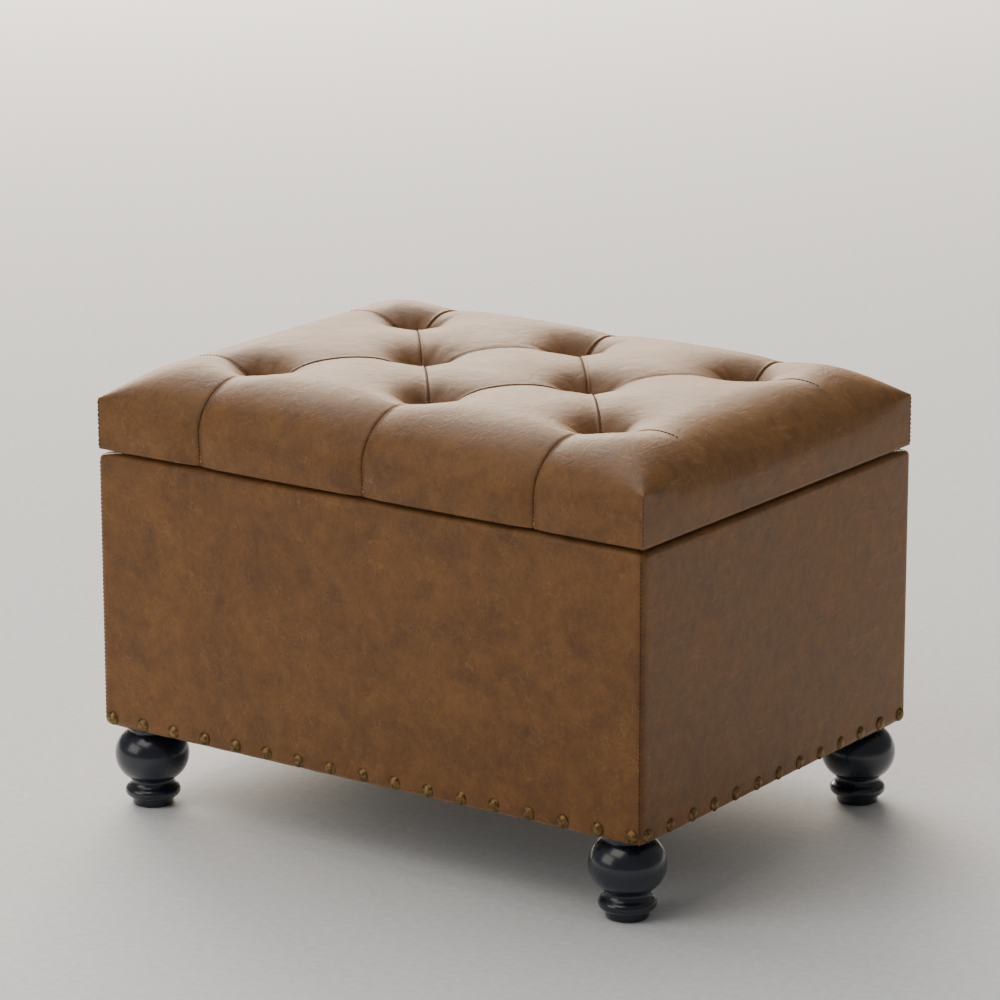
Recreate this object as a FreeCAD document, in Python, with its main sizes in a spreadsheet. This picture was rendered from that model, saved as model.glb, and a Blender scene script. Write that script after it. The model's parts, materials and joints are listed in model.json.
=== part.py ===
import FreeCAD, Part
import Sketcher
import math
import os
import re

"""Ottoman with storage: a leather-covered box on four turned feet with a tufted, hinged lid.

Millimetres.  The origin is on the floor under the middle of the box, +X runs to the right along the
long side, +Y to the rear, where the lid is hinged, and +Z up.
"""

SIZES = [
    ("overall_length", 620), ("overall_depth", 455),
    ("foot_height", 79), ("base_height", 271), ("lid_gap", 6),
    ("lid_edge_height", 48), ("lid_crown", 28),
    ("leather_thickness", 1.5), ("batting_thickness", 3), ("panel_thickness", 15),
    ("lining_thickness", 1), ("dust_cover_thickness", 1),
    ("base_corner_radius", 7), ("base_edge_radius", 4),
    ("leather_fold_inside", 20), ("leather_fold_below", 22),
    ("corner_block_width", 32), ("corner_block_height", 30), ("bottom_panel_thickness", 9),
    ("foot_inset_x", 33.6), ("foot_inset_y", 28.6),
    ("foot_neck_radius", 22.5), ("foot_neck_height", 4.6), ("foot_bulb_arc", 27.8),
    ("foot_waist_radius", 20.5), ("foot_waist_level", 26), ("foot_bead_radius", 24.6),
    ("foot_bead_level", 19.2), ("foot_bead_arc", 3.6), ("foot_ring_arc", 6.3),
    ("foot_disc_radius", 20), ("foot_disc_level", 8), ("foot_bottom_edge", 1.5),
    ("foot_bolt_radius", 4), ("foot_bolt_in_foot", 25), ("foot_bolt_in_block", 24),
    ("nail_head_radius", 5.8), ("nail_head_height", 3), ("nail_shank_radius", 0.8),
    ("nail_shank_length", 8), ("nail_level", 9.2), ("nail_end_inset", 9.6),
    ("nails_on_long_side", 17), ("nails_on_short_side", 13),
    ("lid_board_thickness", 12), ("lid_edge_padding", 3), ("lid_fold_below", 25),
    ("tuft_pitch_x", 193), ("tuft_row_offset_y", 119), ("tuft_tie_radius", 1.2),
    ("tuft_anchor_radius", 9), ("tuft_anchor_thickness", 2.5), ("tuft_depth", 26),
    ("bumper_radius", 5), ("bumper_clearance", 0.3), ("bumper_inset_x", 40),
    ("hinge_setback", 1.5), ("hinge_spacing", 380), ("hinge_length", 70),
    ("hinge_leaf_width", 18), ("hinge_leaf_thickness", 1.5), ("hinge_barrel_radius", 2.8),
    ("hinge_pin_radius", 1.5), ("hinge_pin_clearance", 0.06), ("hinge_side_clearance", 0.3),
    ("hinge_knuckles", 5), ("hinge_screw_inset", 14),
    ("screw_head_radius", 3.4), ("screw_radius", 1.75), ("screw_head_height", 1.5),
    ("rim_screw_length", 16), ("lid_screw_length", 11), ("wall_screw_length", 14),
    ("lid_open_angle", 95), ("stay_reach", 120), ("stay_pivot_drop", 14), ("stay_spread_angle", 30),
    ("stay_plate_thickness", 2), ("stay_arm_thickness", 2), ("stay_arm_width", 16),
    ("stay_arm_end", 10), ("stay_stud_radius", 2.75), ("stay_slot_clearance", 0.3),
    ("stay_side_clearance", 0.3), ("stay_collar_radius", 7), ("stay_collar_height", 1.2),
    ("stay_head_radius", 6), ("stay_head_height", 2), ("stay_rivet_radius", 2.5),
    ("stay_rivet_head_radius", 5), ("stay_rivet_head_height", 1),
    ("stay_pivot_clearance", 0.06), ("wall_plate_half_width", 12), ("wall_plate_half_height", 24),
    ("wall_screw_offset", 16), ("bracket_half_width", 10), ("bracket_flange_width", 18),
    ("bracket_flange_half_length", 24), ("bracket_screw_offset", 17),
]

# Levels and faces, as expressions of the sizes above.
BASE_TOP = "(foot_height + base_height)"
PANEL_BOTTOM = "(foot_height + leather_thickness)"
PANEL_TOP = f"({BASE_TOP} - leather_thickness)"
PANEL_OUTER_X = "(overall_length / 2 - leather_thickness - batting_thickness)"
PANEL_OUTER_Y = "(overall_depth / 2 - leather_thickness - batting_thickness)"
ROOM_X = f"({PANEL_OUTER_X} - panel_thickness)"
ROOM_Y = f"({PANEL_OUTER_Y} - panel_thickness)"
FOLD_BOTTOM = f"({BASE_TOP} - leather_fold_inside - leather_thickness)"
BLOCK_TOP = f"({PANEL_BOTTOM} + corner_block_height)"
FLOOR_TOP = f"({BLOCK_TOP} + bottom_panel_thickness)"
FOOT_X = "(overall_length / 2 - foot_inset_x)"
FOOT_Y = "(overall_depth / 2 - foot_inset_y)"
LID_BOTTOM = f"({BASE_TOP} + lid_gap)"
LID_TOP = f"({LID_BOTTOM} + lid_edge_height + lid_crown)"
BOARD_BOTTOM = f"({LID_BOTTOM} + leather_thickness)"
BOARD_TOP = f"({BOARD_BOTTOM} + lid_board_thickness)"
BOARD_X = "(overall_length / 2 - leather_thickness - lid_edge_padding)"
BOARD_Y = "(overall_depth / 2 - leather_thickness - lid_edge_padding)"
LID_LINING_BOTTOM = f"({BOARD_BOTTOM} - lining_thickness)"
HINGE_Y = "(overall_depth / 2 + hinge_setback)"
HINGE_Z = f"({BASE_TOP} + lid_gap / 2)"
LEAF_Y = f"({HINGE_Y} - hinge_setback - hinge_leaf_width)"
HINGE_SCREW_Y = f"({LEAF_Y} + hinge_leaf_width * 0.4)"
WALL_FACE_X = f"({ROOM_X} - lining_thickness)"
PLATE_FACE_X = f"({WALL_FACE_X} - stay_plate_thickness)"
ARM_OUTER_X = f"({PLATE_FACE_X} - stay_collar_height - stay_side_clearance)"
ARM_INNER_X = f"({ARM_OUTER_X} - stay_arm_thickness)"
WEB_OUTER_X = f"({ARM_INNER_X} - stay_side_clearance)"
WEB_INNER_X = f"({WEB_OUTER_X} - stay_plate_thickness)"

# The stay's stud and its pivot lie at one distance from the hinge axis, so that the arm turns by
# exactly half of the lid's angle.
PIVOT_ANGLE = "asin(stay_pivot_drop / stay_reach)"
STUD_ANGLE = f"({PIVOT_ANGLE} + stay_spread_angle * 1deg)"
PIVOT_Y = f"({HINGE_Y} - stay_reach * cos({PIVOT_ANGLE}))"
PIVOT_Z = f"({HINGE_Z} - stay_pivot_drop)"
STUD_Y = f"({HINGE_Y} - stay_reach * cos({STUD_ANGLE}))"
STUD_Z = f"({HINGE_Z} - stay_reach * sin({STUD_ANGLE}))"
ARM_LEAN = f"({PIVOT_ANGLE} + stay_spread_angle * 0.5deg)"
SLOT_START = "(2 * stay_reach * sin(stay_spread_angle * 0.5deg))"
SLOT_END = "(2 * stay_reach * sin((stay_spread_angle + lid_open_angle) * 0.5deg))"
SLOT_HALF = "(stay_stud_radius + stay_slot_clearance)"

SIDES = {"left": -1, "right": 1}
Y_SIDES = {"front": -1, "rear": 1}
UP = FreeCAD.Vector(0, 0, 1)

doc = FreeCAD.newDocument("StorageOttoman")
sheet = doc.addObject("Spreadsheet::Sheet", "Sizes")
nodes = {}


def fill_sheet():
    """Write every driving size into the sheet and give its cell the size's name."""
    for row, (name, size) in enumerate(SIZES, start=1):
        sheet.set(f"A{row}", name)
        sheet.set(f"B{row}", str(size))
        sheet.setAlias(f"B{row}", name)
    doc.recompute()


def linked(expression):
    """Point every size's name in an expression at its cell in the sheet."""
    names = "|".join(sorted((name for name, _ in SIZES), key=len, reverse=True))
    return re.sub(rf"\b({names})\b", r"Sizes.\1", str(expression))


def value(expression):
    """Work an expression out as a plain number, angles in degrees."""
    result = sheet.evalExpression(linked(expression))
    return float(getattr(result, "Value", result))


def bind(piece, **expressions):
    """Bind properties to expressions; a double underscore in a name stands for a point."""
    for name, expression in expressions.items():
        piece.setExpression(name.replace("__", "."), linked(expression))


def place(piece, x="0", y="0", z="0"):
    """Bind a piece's position to expressions."""
    bind(piece, Placement__Base__x=x, Placement__Base__y=y, Placement__Base__z=z)


def node(name, piece):
    """Name a finished piece as one of the ottoman's sub-parts."""
    piece.Label = name
    nodes[name] = piece
    return piece


def block(name, x_span, y_span, z_span):
    """A box between two expressions on each axis."""
    piece = doc.addObject("Part::Box", name)
    bind(piece,
         Length=f"{x_span[1]} - {x_span[0]}",
         Width=f"{y_span[1]} - {y_span[0]}",
         Height=f"{z_span[1]} - {z_span[0]}")
    place(piece, x_span[0], y_span[0], z_span[0])
    return piece


def both_ways(half):
    """The span from minus a half size to plus it."""
    return (f"(0 - {half})", half)


def on_side(side, inner, outer):
    """The span between two distances from the middle, on the left (-1) or the right (1)."""
    if side > 0:
        return (inner, outer)
    return (f"(0 - {outer})", f"(0 - {inner})")


def rod(name, radius, length, start, turn=None):
    """A cylinder from a start point, along +Z or turned by a rotation."""
    piece = doc.addObject("Part::Cylinder", name)
    if turn:
        piece.Placement = FreeCAD.Placement(FreeCAD.Vector(), turn)
    bind(piece, Radius=radius, Height=length)
    place(piece, *start)
    return piece


def cut(name, base, tool):
    """One piece with another taken out of it."""
    piece = doc.addObject("Part::Cut", name)
    piece.Base = base
    piece.Tool = tool
    return piece


def common(name, base, tool):
    """What two shapes share."""
    piece = doc.addObject("Part::Common", name)
    piece.Base = base
    piece.Tool = tool
    return piece


def fused(name, pieces):
    """Several shapes joined into one solid."""
    piece = doc.addObject("Part::MultiFuse", name)
    piece.Shapes = pieces
    piece.Refine = True
    return piece


def group(name, pieces):
    """Separate solids kept together in one object."""
    piece = doc.addObject("Part::Compound", name)
    piece.Links = pieces
    return piece


def rounded(name, base, choose, radius):
    """Round the edges that choose() picks, with one radius bound to the sheet's value."""
    doc.recompute()
    size = value(radius)
    edges = [(number, size, size) for number, edge in enumerate(base.Shape.Edges, start=1) if choose(edge)]
    piece = doc.addObject("Part::Fillet", name)
    piece.Base = base
    piece.Edges = edges
    return piece


def is_upright(edge):
    """True for a straight edge along Z."""
    direction = edge.tangentAt(edge.FirstParameter)
    return edge.Curve.TypeId == "Part::GeomLine" and abs(direction.z) > 0.99


def body_with(name):
    """A new PartDesign body."""
    return doc.addObject("PartDesign::Body", name)


def origin_part(body, role):
    """One of a body's origin planes or axes."""
    return next(item for item in body.Origin.OriginFeatures if item.Role == role)


def sketch_on(body, plane):
    """A new sketch on one of the body's origin planes."""
    sketch = body.newObject("Sketcher::SketchObject", body.Name + "Outline")
    sketch.AttachmentSupport = [(origin_part(body, plane), "")]
    sketch.MapMode = "FlatFace"
    return sketch


def pin_point(sketch, item, end, x, y):
    """Hold one end (1 start, 2 end, 3 centre) of a sketch item at two expressions."""
    for kind, expression in (("DistanceX", x), ("DistanceY", y)):
        rule = sketch.addConstraint(Sketcher.Constraint(kind, -1, 1, item, end, value(expression)))
        sketch.setExpression(f"Constraints[{rule}]", linked(expression))


def arc_between(start, stop, radius):
    """The shorter arc from start to stop; a positive radius bulges to the right of the way."""
    chord = stop - start
    across = FreeCAD.Vector(chord.y, -chord.x, 0).normalize()
    rise = math.sqrt(max(radius * radius - chord.Length ** 2 / 4, 0))
    crown = (start + stop) / 2 + across * math.copysign(abs(radius) - rise, radius)
    return Part.Arc(start, crown, stop)


def draw_outline(sketch, corners):
    """Draw a closed outline whose corners, and the radii of its arcs, are expressions.

    A corner is (x, y) before a straight line and (x, y, radius) before an arc."""
    points = [FreeCAD.Vector(value(corner[0]), value(corner[1]), 0) for corner in corners]
    items = []
    for index, corner in enumerate(corners):
        start = points[index]
        stop = points[(index + 1) % len(points)]
        if len(corner) == 2:
            items.append(sketch.addGeometry(Part.LineSegment(start, stop)))
            continue
        item = sketch.addGeometry(arc_between(start, stop, value(corner[2])))
        rule = sketch.addConstraint(Sketcher.Constraint("Radius", item, abs(value(corner[2]))))
        sketch.setExpression(f"Constraints[{rule}]", linked(f"abs({corner[2]})"))
        items.append(item)
    ends = [ends_in_order(sketch, item, points[index]) for index, item in enumerate(items)]
    for index, item in enumerate(items):
        following = (index + 1) % len(items)
        sketch.addConstraint(Sketcher.Constraint(
            "Coincident", item, ends[index][1], items[following], ends[following][0]))
        pin_point(sketch, item, ends[index][0], corners[index][0], corners[index][1])


def ends_in_order(sketch, item, start):
    """A sketch item's two ends, the one at the start point first."""
    if sketch.getPoint(item, 1).distanceToPoint(start) < 0.001:
        return (1, 2)
    return (2, 1)


def draw_slot(sketch, half, high, low):
    """Draw an upright slot outline: half its width, and the centres of its round ends."""
    draw_outline(sketch, [
        (half, high, half), ("0", f"{high} + {half}", half), (f"0 - {half}", high),
        (f"0 - {half}", low, half), ("0", f"{low} - {half}", half), (half, low)])


def draw_circle(sketch, x, y, radius):
    """Draw a circle whose centre and radius are expressions."""
    centre = FreeCAD.Vector(value(x), value(y), 0)
    item = sketch.addGeometry(Part.Circle(centre, FreeCAD.Vector(0, 0, 1), value(radius)))
    rule = sketch.addConstraint(Sketcher.Constraint("Radius", item, value(radius)))
    sketch.setExpression(f"Constraints[{rule}]", linked(radius))
    pin_point(sketch, item, 3, x, y)


def pad(body, sketch, length):
    """Extrude a sketch by a length that is an expression."""
    feature = body.newObject("PartDesign::Pad", body.Name + "Pad")
    feature.Profile = sketch
    bind(feature, Length=length)
    return feature


def turned(body, sketch):
    """Revolve a sketch a full turn about its own upright axis."""
    feature = body.newObject("PartDesign::Revolution", body.Name + "Turning")
    feature.Profile = sketch
    feature.ReferenceAxis = (sketch, ["V_Axis"])
    feature.Angle = 360
    return feature


def prism(name, plane, corners, length):
    """A straight prism on one of its origin planes."""
    body = body_with(name)
    sketch = sketch_on(body, plane)
    draw_outline(sketch, corners)
    pad(body, sketch, length)
    return body


# ---------------------------------------------------------------- nailheads

def nail_row(side_name, turn_degrees, count, run, x, y):
    """One row of domed nails along a side, made facing the front and turned to its side."""
    body = body_with(f"nailheads_{side_name}")
    sketch = sketch_on(body, "XY_Plane")
    dome_radius = "((nail_head_radius ^ 2 + nail_head_height ^ 2) / (2 * nail_head_height))"
    draw_outline(sketch, [
        ("0", "nail_shank_length"),
        ("0", "0 - nail_head_height", dome_radius),
        ("nail_head_radius", "0"),
        ("nail_shank_radius", "0"),
        ("nail_shank_radius", "nail_shank_length - nail_shank_radius"),
    ])
    nail = turned(body, sketch)
    doc.recompute()
    row = body.newObject("PartDesign::LinearPattern", body.Name + "Row")
    row.Originals = [nail]
    row.Direction = (origin_part(body, "X_Axis"), [""])
    bind(row, Length=f"{run} - 2 * nail_end_inset", Occurrences=count)
    body.Tip = row
    body.Placement = FreeCAD.Placement(FreeCAD.Vector(), FreeCAD.Rotation(UP, turn_degrees))
    place(body, x, y, "foot_height + nail_level")
    return node(body.Name, body)


def nail_rows():
    """The rows on the four sides, each starting at one end of its side."""
    half_x = "overall_length / 2"
    half_y = "overall_depth / 2"
    long_row = ("nails_on_long_side", "overall_length")
    short_row = ("nails_on_short_side", "overall_depth")
    return group("AllNails", [
        nail_row("front", 0, *long_row, f"nail_end_inset - {half_x}", f"0 - {half_y}"),
        nail_row("right", 90, *short_row, half_x, f"nail_end_inset - {half_y}"),
        nail_row("rear", 180, *long_row, f"{half_x} - nail_end_inset", half_y),
        nail_row("left", 270, *short_row, f"0 - {half_x}", f"{half_y} - nail_end_inset"),
    ])


# ---------------------------------------------------------------- screws

def screw(point, direction, length):
    """One countersunk screw; the point is the middle of its flat head, the direction its tip's."""
    head_height = value("screw_head_height")
    head = Part.makeCone(value("screw_head_radius"), value("screw_radius"), head_height, point, direction)
    shank = Part.makeCylinder(value("screw_radius"), value(length), point, direction)
    return head.fuse(shank).removeSplitter()


def screw_group(name, places, length):
    """Like screws in one node; each place is (x, y, z) expressions and a direction."""
    piece = doc.addObject("Part::Feature", name)
    solids = []
    for (x, y, z), direction in places:
        point = FreeCAD.Vector(value(x), value(y), value(z))
        solids += screw(point, direction, length).Solids
    piece.Shape = Part.makeCompound(solids)
    return node(name, piece)


def hinge_screws():
    """Two screws down through each box leaf and two up through each lid leaf."""
    down = []
    up = []
    for side in SIDES.values():
        for end in (-1, 1):
            x = f"{side} * hinge_spacing / 2 + {end} * (hinge_length / 2 - hinge_screw_inset)"
            down.append(((x, HINGE_SCREW_Y, f"{BASE_TOP} + hinge_leaf_thickness"), -UP))
            up.append(((x, HINGE_SCREW_Y, f"{LID_BOTTOM} - hinge_leaf_thickness"), UP))
    return (screw_group("hinge_screws_box", down, "rim_screw_length"),
            screw_group("hinge_screws_lid", up, "lid_screw_length"))


def stay_screws():
    """Two screws through each wall plate and two up through each lid bracket."""
    wall = []
    lid = []
    for side in SIDES.values():
        for end in (-1, 1):
            outward = FreeCAD.Vector(side, 0, 0)
            wall.append(((f"{side} * {PLATE_FACE_X}", STUD_Y, f"{STUD_Z} + {end} * wall_screw_offset"),
                         outward))
            x = f"{side} * ({WEB_INNER_X} - (bracket_flange_width - stay_plate_thickness) / 2)"
            y = f"{PIVOT_Y} + {end} * bracket_screw_offset"
            lid.append(((x, y, f"{LID_LINING_BOTTOM} - stay_plate_thickness"), UP))
    return (screw_group("stay_screws_wall", wall, "wall_screw_length"),
            screw_group("stay_screws_lid", lid, "lid_screw_length"))


# ---------------------------------------------------------------- box

def box_panels(fasteners):
    """Front and rear panels run the full length; the side panels stand between them."""
    height = (PANEL_BOTTOM, PANEL_TOP)
    for name, side in Y_SIDES.items():
        raw = block(f"{name}_board", both_ways(PANEL_OUTER_X), on_side(side, ROOM_Y, PANEL_OUTER_Y), height)
        node(f"{name}_panel", cut(f"{name}_panel", raw, fasteners))
    for name, side in SIDES.items():
        raw = block(f"{name}_board", on_side(side, ROOM_X, PANEL_OUTER_X), both_ways(ROOM_Y), height)
        node(f"{name}_panel", cut(f"{name}_panel", raw, fasteners))


def corner_blocks(bolts):
    """Glued blocks in the four bottom corners, which the foot bolts screw into."""
    blocks = []
    for x_side in SIDES.values():
        for y_side in Y_SIDES.values():
            blocks.append(block("CornerBlock",
                                on_side(x_side, f"({ROOM_X} - corner_block_width)", ROOM_X),
                                on_side(y_side, f"({ROOM_Y} - corner_block_width)", ROOM_Y),
                                (PANEL_BOTTOM, BLOCK_TOP)))
    node("corner_blocks", cut("corner_blocks", group("CornerBlocksWhole", blocks), bolts))


def box_floor():
    """The compartment's bottom panel, on the corner blocks."""
    node("bottom_panel", block("bottom_panel", both_ways(ROOM_X), both_ways(ROOM_Y), (BLOCK_TOP, FLOOR_TOP)))


def rounded_box(name, inset, bottom, top):
    """The box's outside, or the same form an inset further in, with its corners and edges rounded."""
    whole = block(f"{name}Block", both_ways(f"(overall_length / 2 - {inset})"),
                  both_ways(f"(overall_depth / 2 - {inset})"), (bottom, top))
    upright = rounded(f"{name}Corners", whole, is_upright, f"base_corner_radius - {inset}")
    return rounded(name, upright, is_level_outside, f"base_edge_radius - {inset}")


def is_level_outside(edge):
    """True for an edge of the top or bottom face."""
    return abs(edge.BoundBox.ZLength) < 0.001


def box_batting(core, nails):
    """Thin padding round the outside of the panels, under the leather."""
    inside = block("BattingInside", both_ways(PANEL_OUTER_X), both_ways(PANEL_OUTER_Y),
                   (PANEL_BOTTOM, PANEL_TOP))
    node("box_batting", cut("box_batting", cut("BattingRing", core, inside), nails))


def leather_round_box(core, fasteners):
    """The whole leather skin: outside, over the rim, a fold inside and a fold below."""
    skin = rounded_box("Skin", "0", "foot_height", BASE_TOP)
    mouth = block("SkinMouth", both_ways(ROOM_X), both_ways(ROOM_Y), (PANEL_TOP, f"({BASE_TOP} + 1)"))
    below = block("SkinBelow",
                  both_ways("(overall_length / 2 - leather_fold_below)"),
                  both_ways("(overall_depth / 2 - leather_fold_below)"),
                  ("(foot_height - 1)", PANEL_BOTTOM))
    hollow = cut("SkinHollow", cut("SkinOpen", cut("SkinShell", skin, core), mouth), below)
    fold = cut("FoldRing",
               block("FoldOutside", both_ways(ROOM_X), both_ways(ROOM_Y), (FOLD_BOTTOM, BASE_TOP)),
               block("FoldInside", both_ways(f"({ROOM_X} - leather_thickness)"),
                     both_ways(f"({ROOM_Y} - leather_thickness)"), (FOLD_BOTTOM, BASE_TOP)))
    return cut("SkinPierced", fused("SkinWhole", [hollow, fold]), fasteners)


def box_cover(core, fasteners):
    """Four leather panels, sewn to each other at the corners, mitred there."""
    skin = leather_round_box(core, fasteners)
    beyond_x = "(overall_length / 2 + 20)"
    beyond_y = "(overall_depth / 2 + 20)"
    depth = "(overall_depth / 2)"
    inner_x = f"({beyond_x} - {depth})"
    inner_y = f"({beyond_y} - {depth})"
    height = "overall_depth + base_height"
    for name, side in Y_SIDES.items():
        sector = prism(f"Sector{name}", "XY_Plane", [
            (f"0 - {beyond_x}", f"{side} * {beyond_y}"), (beyond_x, f"{side} * {beyond_y}"),
            (inner_x, f"{side} * {inner_y}"), (f"0 - {inner_x}", f"{side} * {inner_y}")], height)
        node(f"cover_{name}", common(f"cover_{name}", skin, sector))
    for name, side in SIDES.items():
        sector = prism(f"Sector{name}", "XY_Plane", [
            (f"{side} * {beyond_x}", f"0 - {beyond_y}"), (f"{side} * {beyond_x}", beyond_y),
            (f"{side} * {inner_x}", inner_y), (f"{side} * {inner_x}", f"0 - {inner_y}")], height)
        node(f"cover_{name}", common(f"cover_{name}", skin, sector))


def box_lining(wall_screws):
    """Fabric on the compartment's walls and floor, up to the leather's inner fold."""
    outside = block("LiningOutside", both_ways(ROOM_X), both_ways(ROOM_Y), (FLOOR_TOP, FOLD_BOTTOM))
    inside = block("LiningInside", both_ways(WALL_FACE_X), both_ways(f"({ROOM_Y} - lining_thickness)"),
                   (f"({FLOOR_TOP} + lining_thickness)", FOLD_BOTTOM))
    node("box_lining", cut("box_lining", cut("LiningShell", outside, inside), wall_screws))


def dust_cover():
    """Thin black cloth under the box, inside the leather's fold, under the corner blocks."""
    sheet_below = block("dust_cover_whole",
                        both_ways("(overall_length / 2 - leather_fold_below)"),
                        both_ways("(overall_depth / 2 - leather_fold_below)"),
                        (f"({PANEL_BOTTOM} - dust_cover_thickness)", PANEL_BOTTOM))
    return sheet_below


# ---------------------------------------------------------------- feet

def foot(name, x_side, y_side):
    """One turned foot: neck, bulb, waist, bead, ring and disc, bored for its bolt."""
    body = body_with(name)
    sketch = sketch_on(body, "XZ_Plane")
    bore_bottom = "(foot_height - foot_bolt_in_foot)"
    draw_outline(sketch, [
        ("0", "0"),
        ("foot_disc_radius - foot_bottom_edge", "0"),
        ("foot_disc_radius", "foot_bottom_edge"),
        ("foot_disc_radius", "foot_disc_level", "foot_ring_arc"),
        ("foot_bead_radius", "foot_bead_level", "foot_bead_arc"),
        ("foot_waist_radius + 1", "foot_waist_level - 1"),
        ("foot_waist_radius", "foot_waist_level", "foot_bulb_arc"),
        ("foot_neck_radius", "foot_height - foot_neck_height"),
        ("foot_neck_radius", "foot_height"),
        ("foot_bolt_radius", "foot_height"),
        ("foot_bolt_radius", bore_bottom),
        ("0", bore_bottom),
    ])
    turned(body, sketch)
    place(body, f"{x_side} * {FOOT_X}", f"{y_side} * {FOOT_Y}")
    return node(name, body)


def feet():
    """Four feet, one near each corner."""
    for y_name, y_side in Y_SIDES.items():
        for x_name, x_side in SIDES.items():
            foot(f"foot_{y_name}_{x_name}", x_side, y_side)


def foot_bolts():
    """A hanger bolt from each foot up into its corner block."""
    bolts = []
    for x_side in SIDES.values():
        for y_side in Y_SIDES.values():
            bolts.append(rod("HangerBolt", "foot_bolt_radius",
                             f"foot_bolt_in_foot + leather_thickness + foot_bolt_in_block",
                             (f"{x_side} * {FOOT_X}", f"{y_side} * {FOOT_Y}",
                              "foot_height - foot_bolt_in_foot")))
    return node("foot_bolts", group("foot_bolts", bolts))


# ---------------------------------------------------------------- lid

def pillow(name, inset, bottom, top, radius):
    """A boxed cushion: the long and the short outline, each with round top edges, crossed."""
    shapes = []
    for plane, along, across in (("XZ_Plane", "overall_length", "overall_depth"),
                                 ("YZ_Plane", "overall_depth", "overall_length")):
        half = f"({along} / 2 - {inset})"
        body = prism(f"{name}{plane[:2]}", plane, [
            (f"0 - {half}", bottom), (half, bottom),
            (half, f"{top} - {radius}", radius), (f"{half} - {radius}", top),
            (f"{radius} - {half}", top, radius), (f"0 - {half}", f"{top} - {radius}")],
            f"{across} - 2 * {inset}")
        shift = f"{across} / 2 - {inset}"
        if plane == "XZ_Plane":
            place(body, y=shift)
        else:
            place(body, x=f"0 - ({shift})")
        shapes.append(body)
    return common(name, *shapes)


def tuft_points():
    """The eight tufts: three, two and three, set diamond-wise."""
    points = []
    for row in (-1, 0, 1):
        columns = (-0.5, 0.5) if row == 0 else (-1, 0, 1)
        points += [(f"{column} * tuft_pitch_x", f"{row} * tuft_row_offset_y") for column in columns]
    return points


def tuft_hardware():
    """An anchor disc let into the underside of the board at each tuft, and its tie up into the pad."""
    anchors = [rod("TuftAnchor", "tuft_anchor_radius", "tuft_anchor_thickness", (x, y, BOARD_BOTTOM))
               for x, y in tuft_points()]
    start = f"({BOARD_BOTTOM} + tuft_anchor_thickness)"
    length = f"({LID_TOP} - leather_thickness - tuft_depth - {start})"
    ties = [rod("TuftTie", "tuft_tie_radius", length, (x, y, start)) for x, y in tuft_points()]
    return (node("tuft_anchors", group("tuft_anchors", anchors)), node("tuft_ties", group("tuft_ties", ties)))


def lid_board(raw, fasteners):
    """The board that carries the lid."""
    node("lid_board", cut("lid_board", raw, fasteners))


def lid_pad(board, ties):
    """Foam over the board and down over its edges."""
    foam = pillow("FoamWhole", "leather_thickness", BOARD_BOTTOM, f"({LID_TOP} - leather_thickness)",
                  "(lid_crown - leather_thickness)")
    node("lid_foam", cut("lid_foam", cut("FoamOverBoard", foam, board), ties))


def lid_cover(fasteners):
    """The leather over the foam, folded in under the board."""
    outer = pillow("CoverOutside", "0", LID_BOTTOM, LID_TOP, "lid_crown")
    inner = pillow("CoverInside", "leather_thickness", BOARD_BOTTOM, f"({LID_TOP} - leather_thickness)",
                   "(lid_crown - leather_thickness)")
    mouth = block("CoverMouth",
                  both_ways("(overall_length / 2 - lid_fold_below)"),
                  both_ways("(overall_depth / 2 - lid_fold_below)"),
                  (f"({LID_BOTTOM} - 1)", BOARD_BOTTOM))
    shell = cut("CoverOpen", cut("CoverShell", outer, inner), mouth)
    node("lid_cover", cut("lid_cover", shell, fasteners))


def lid_lining(screws):
    """Fabric under the lid board, inside the leather's fold."""
    cloth = block("LidLiningWhole",
                  both_ways("(overall_length / 2 - lid_fold_below)"),
                  both_ways("(overall_depth / 2 - lid_fold_below)"),
                  (LID_LINING_BOTTOM, BOARD_BOTTOM))
    node("lid_lining", cut("lid_lining", cloth, screws))


def lid_bumpers():
    """Two rubber bumpers under the lid's front edge, a hair above the rim."""
    y = f"0 - {ROOM_Y} - bumper_radius"
    bumpers = [rod("Bumper", "bumper_radius", "lid_gap - bumper_clearance",
                   (f"{side} * (overall_length / 2 - bumper_inset_x)", y, f"{BASE_TOP} + bumper_clearance"))
               for side in SIDES.values()]
    node("lid_bumpers", group("lid_bumpers", bumpers))


# ---------------------------------------------------------------- hinges

def hinge_leaf(name, side, first_knuckle, leaf_span, bore, screws):
    """One leaf with every second knuckle of the barrel, notched for the other leaf's knuckles."""
    pitch = "(hinge_length / hinge_knuckles)"
    start = f"({side} * hinge_spacing / 2 - hinge_length / 2)"
    along_x = FreeCAD.Rotation(FreeCAD.Vector(0, 1, 0), 90)
    plate_edge = f"({HINGE_Y} - hinge_barrel_radius - 2 * hinge_side_clearance)"
    plate = block(f"{name}Plate", (start, f"({start} + hinge_length)"), (LEAF_Y, plate_edge), leaf_span)
    solids = [plate]
    for number in range(first_knuckle, int(value("hinge_knuckles")), 2):
        low = f"({start} + {number} * {pitch} + hinge_side_clearance / 2)"
        high = f"({start} + {number + 1} * {pitch} - hinge_side_clearance / 2)"
        solids.append(rod(f"{name}Knuckle", "hinge_barrel_radius", f"{high} - {low}",
                          (low, HINGE_Y, HINGE_Z), along_x))
        solids.append(block(f"{name}Bend", (low, high), (plate_edge, f"({HINGE_Y} - hinge_pin_radius)"),
                            leaf_span))
    hole = rod(f"{name}Bore", bore, "hinge_length + 2", (f"{start} - 1", HINGE_Y, HINGE_Z), along_x)
    leaf = cut(f"{name}Bored", fused(f"{name}Solid", solids), hole)
    node(name, cut(name, leaf, screws))


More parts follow.
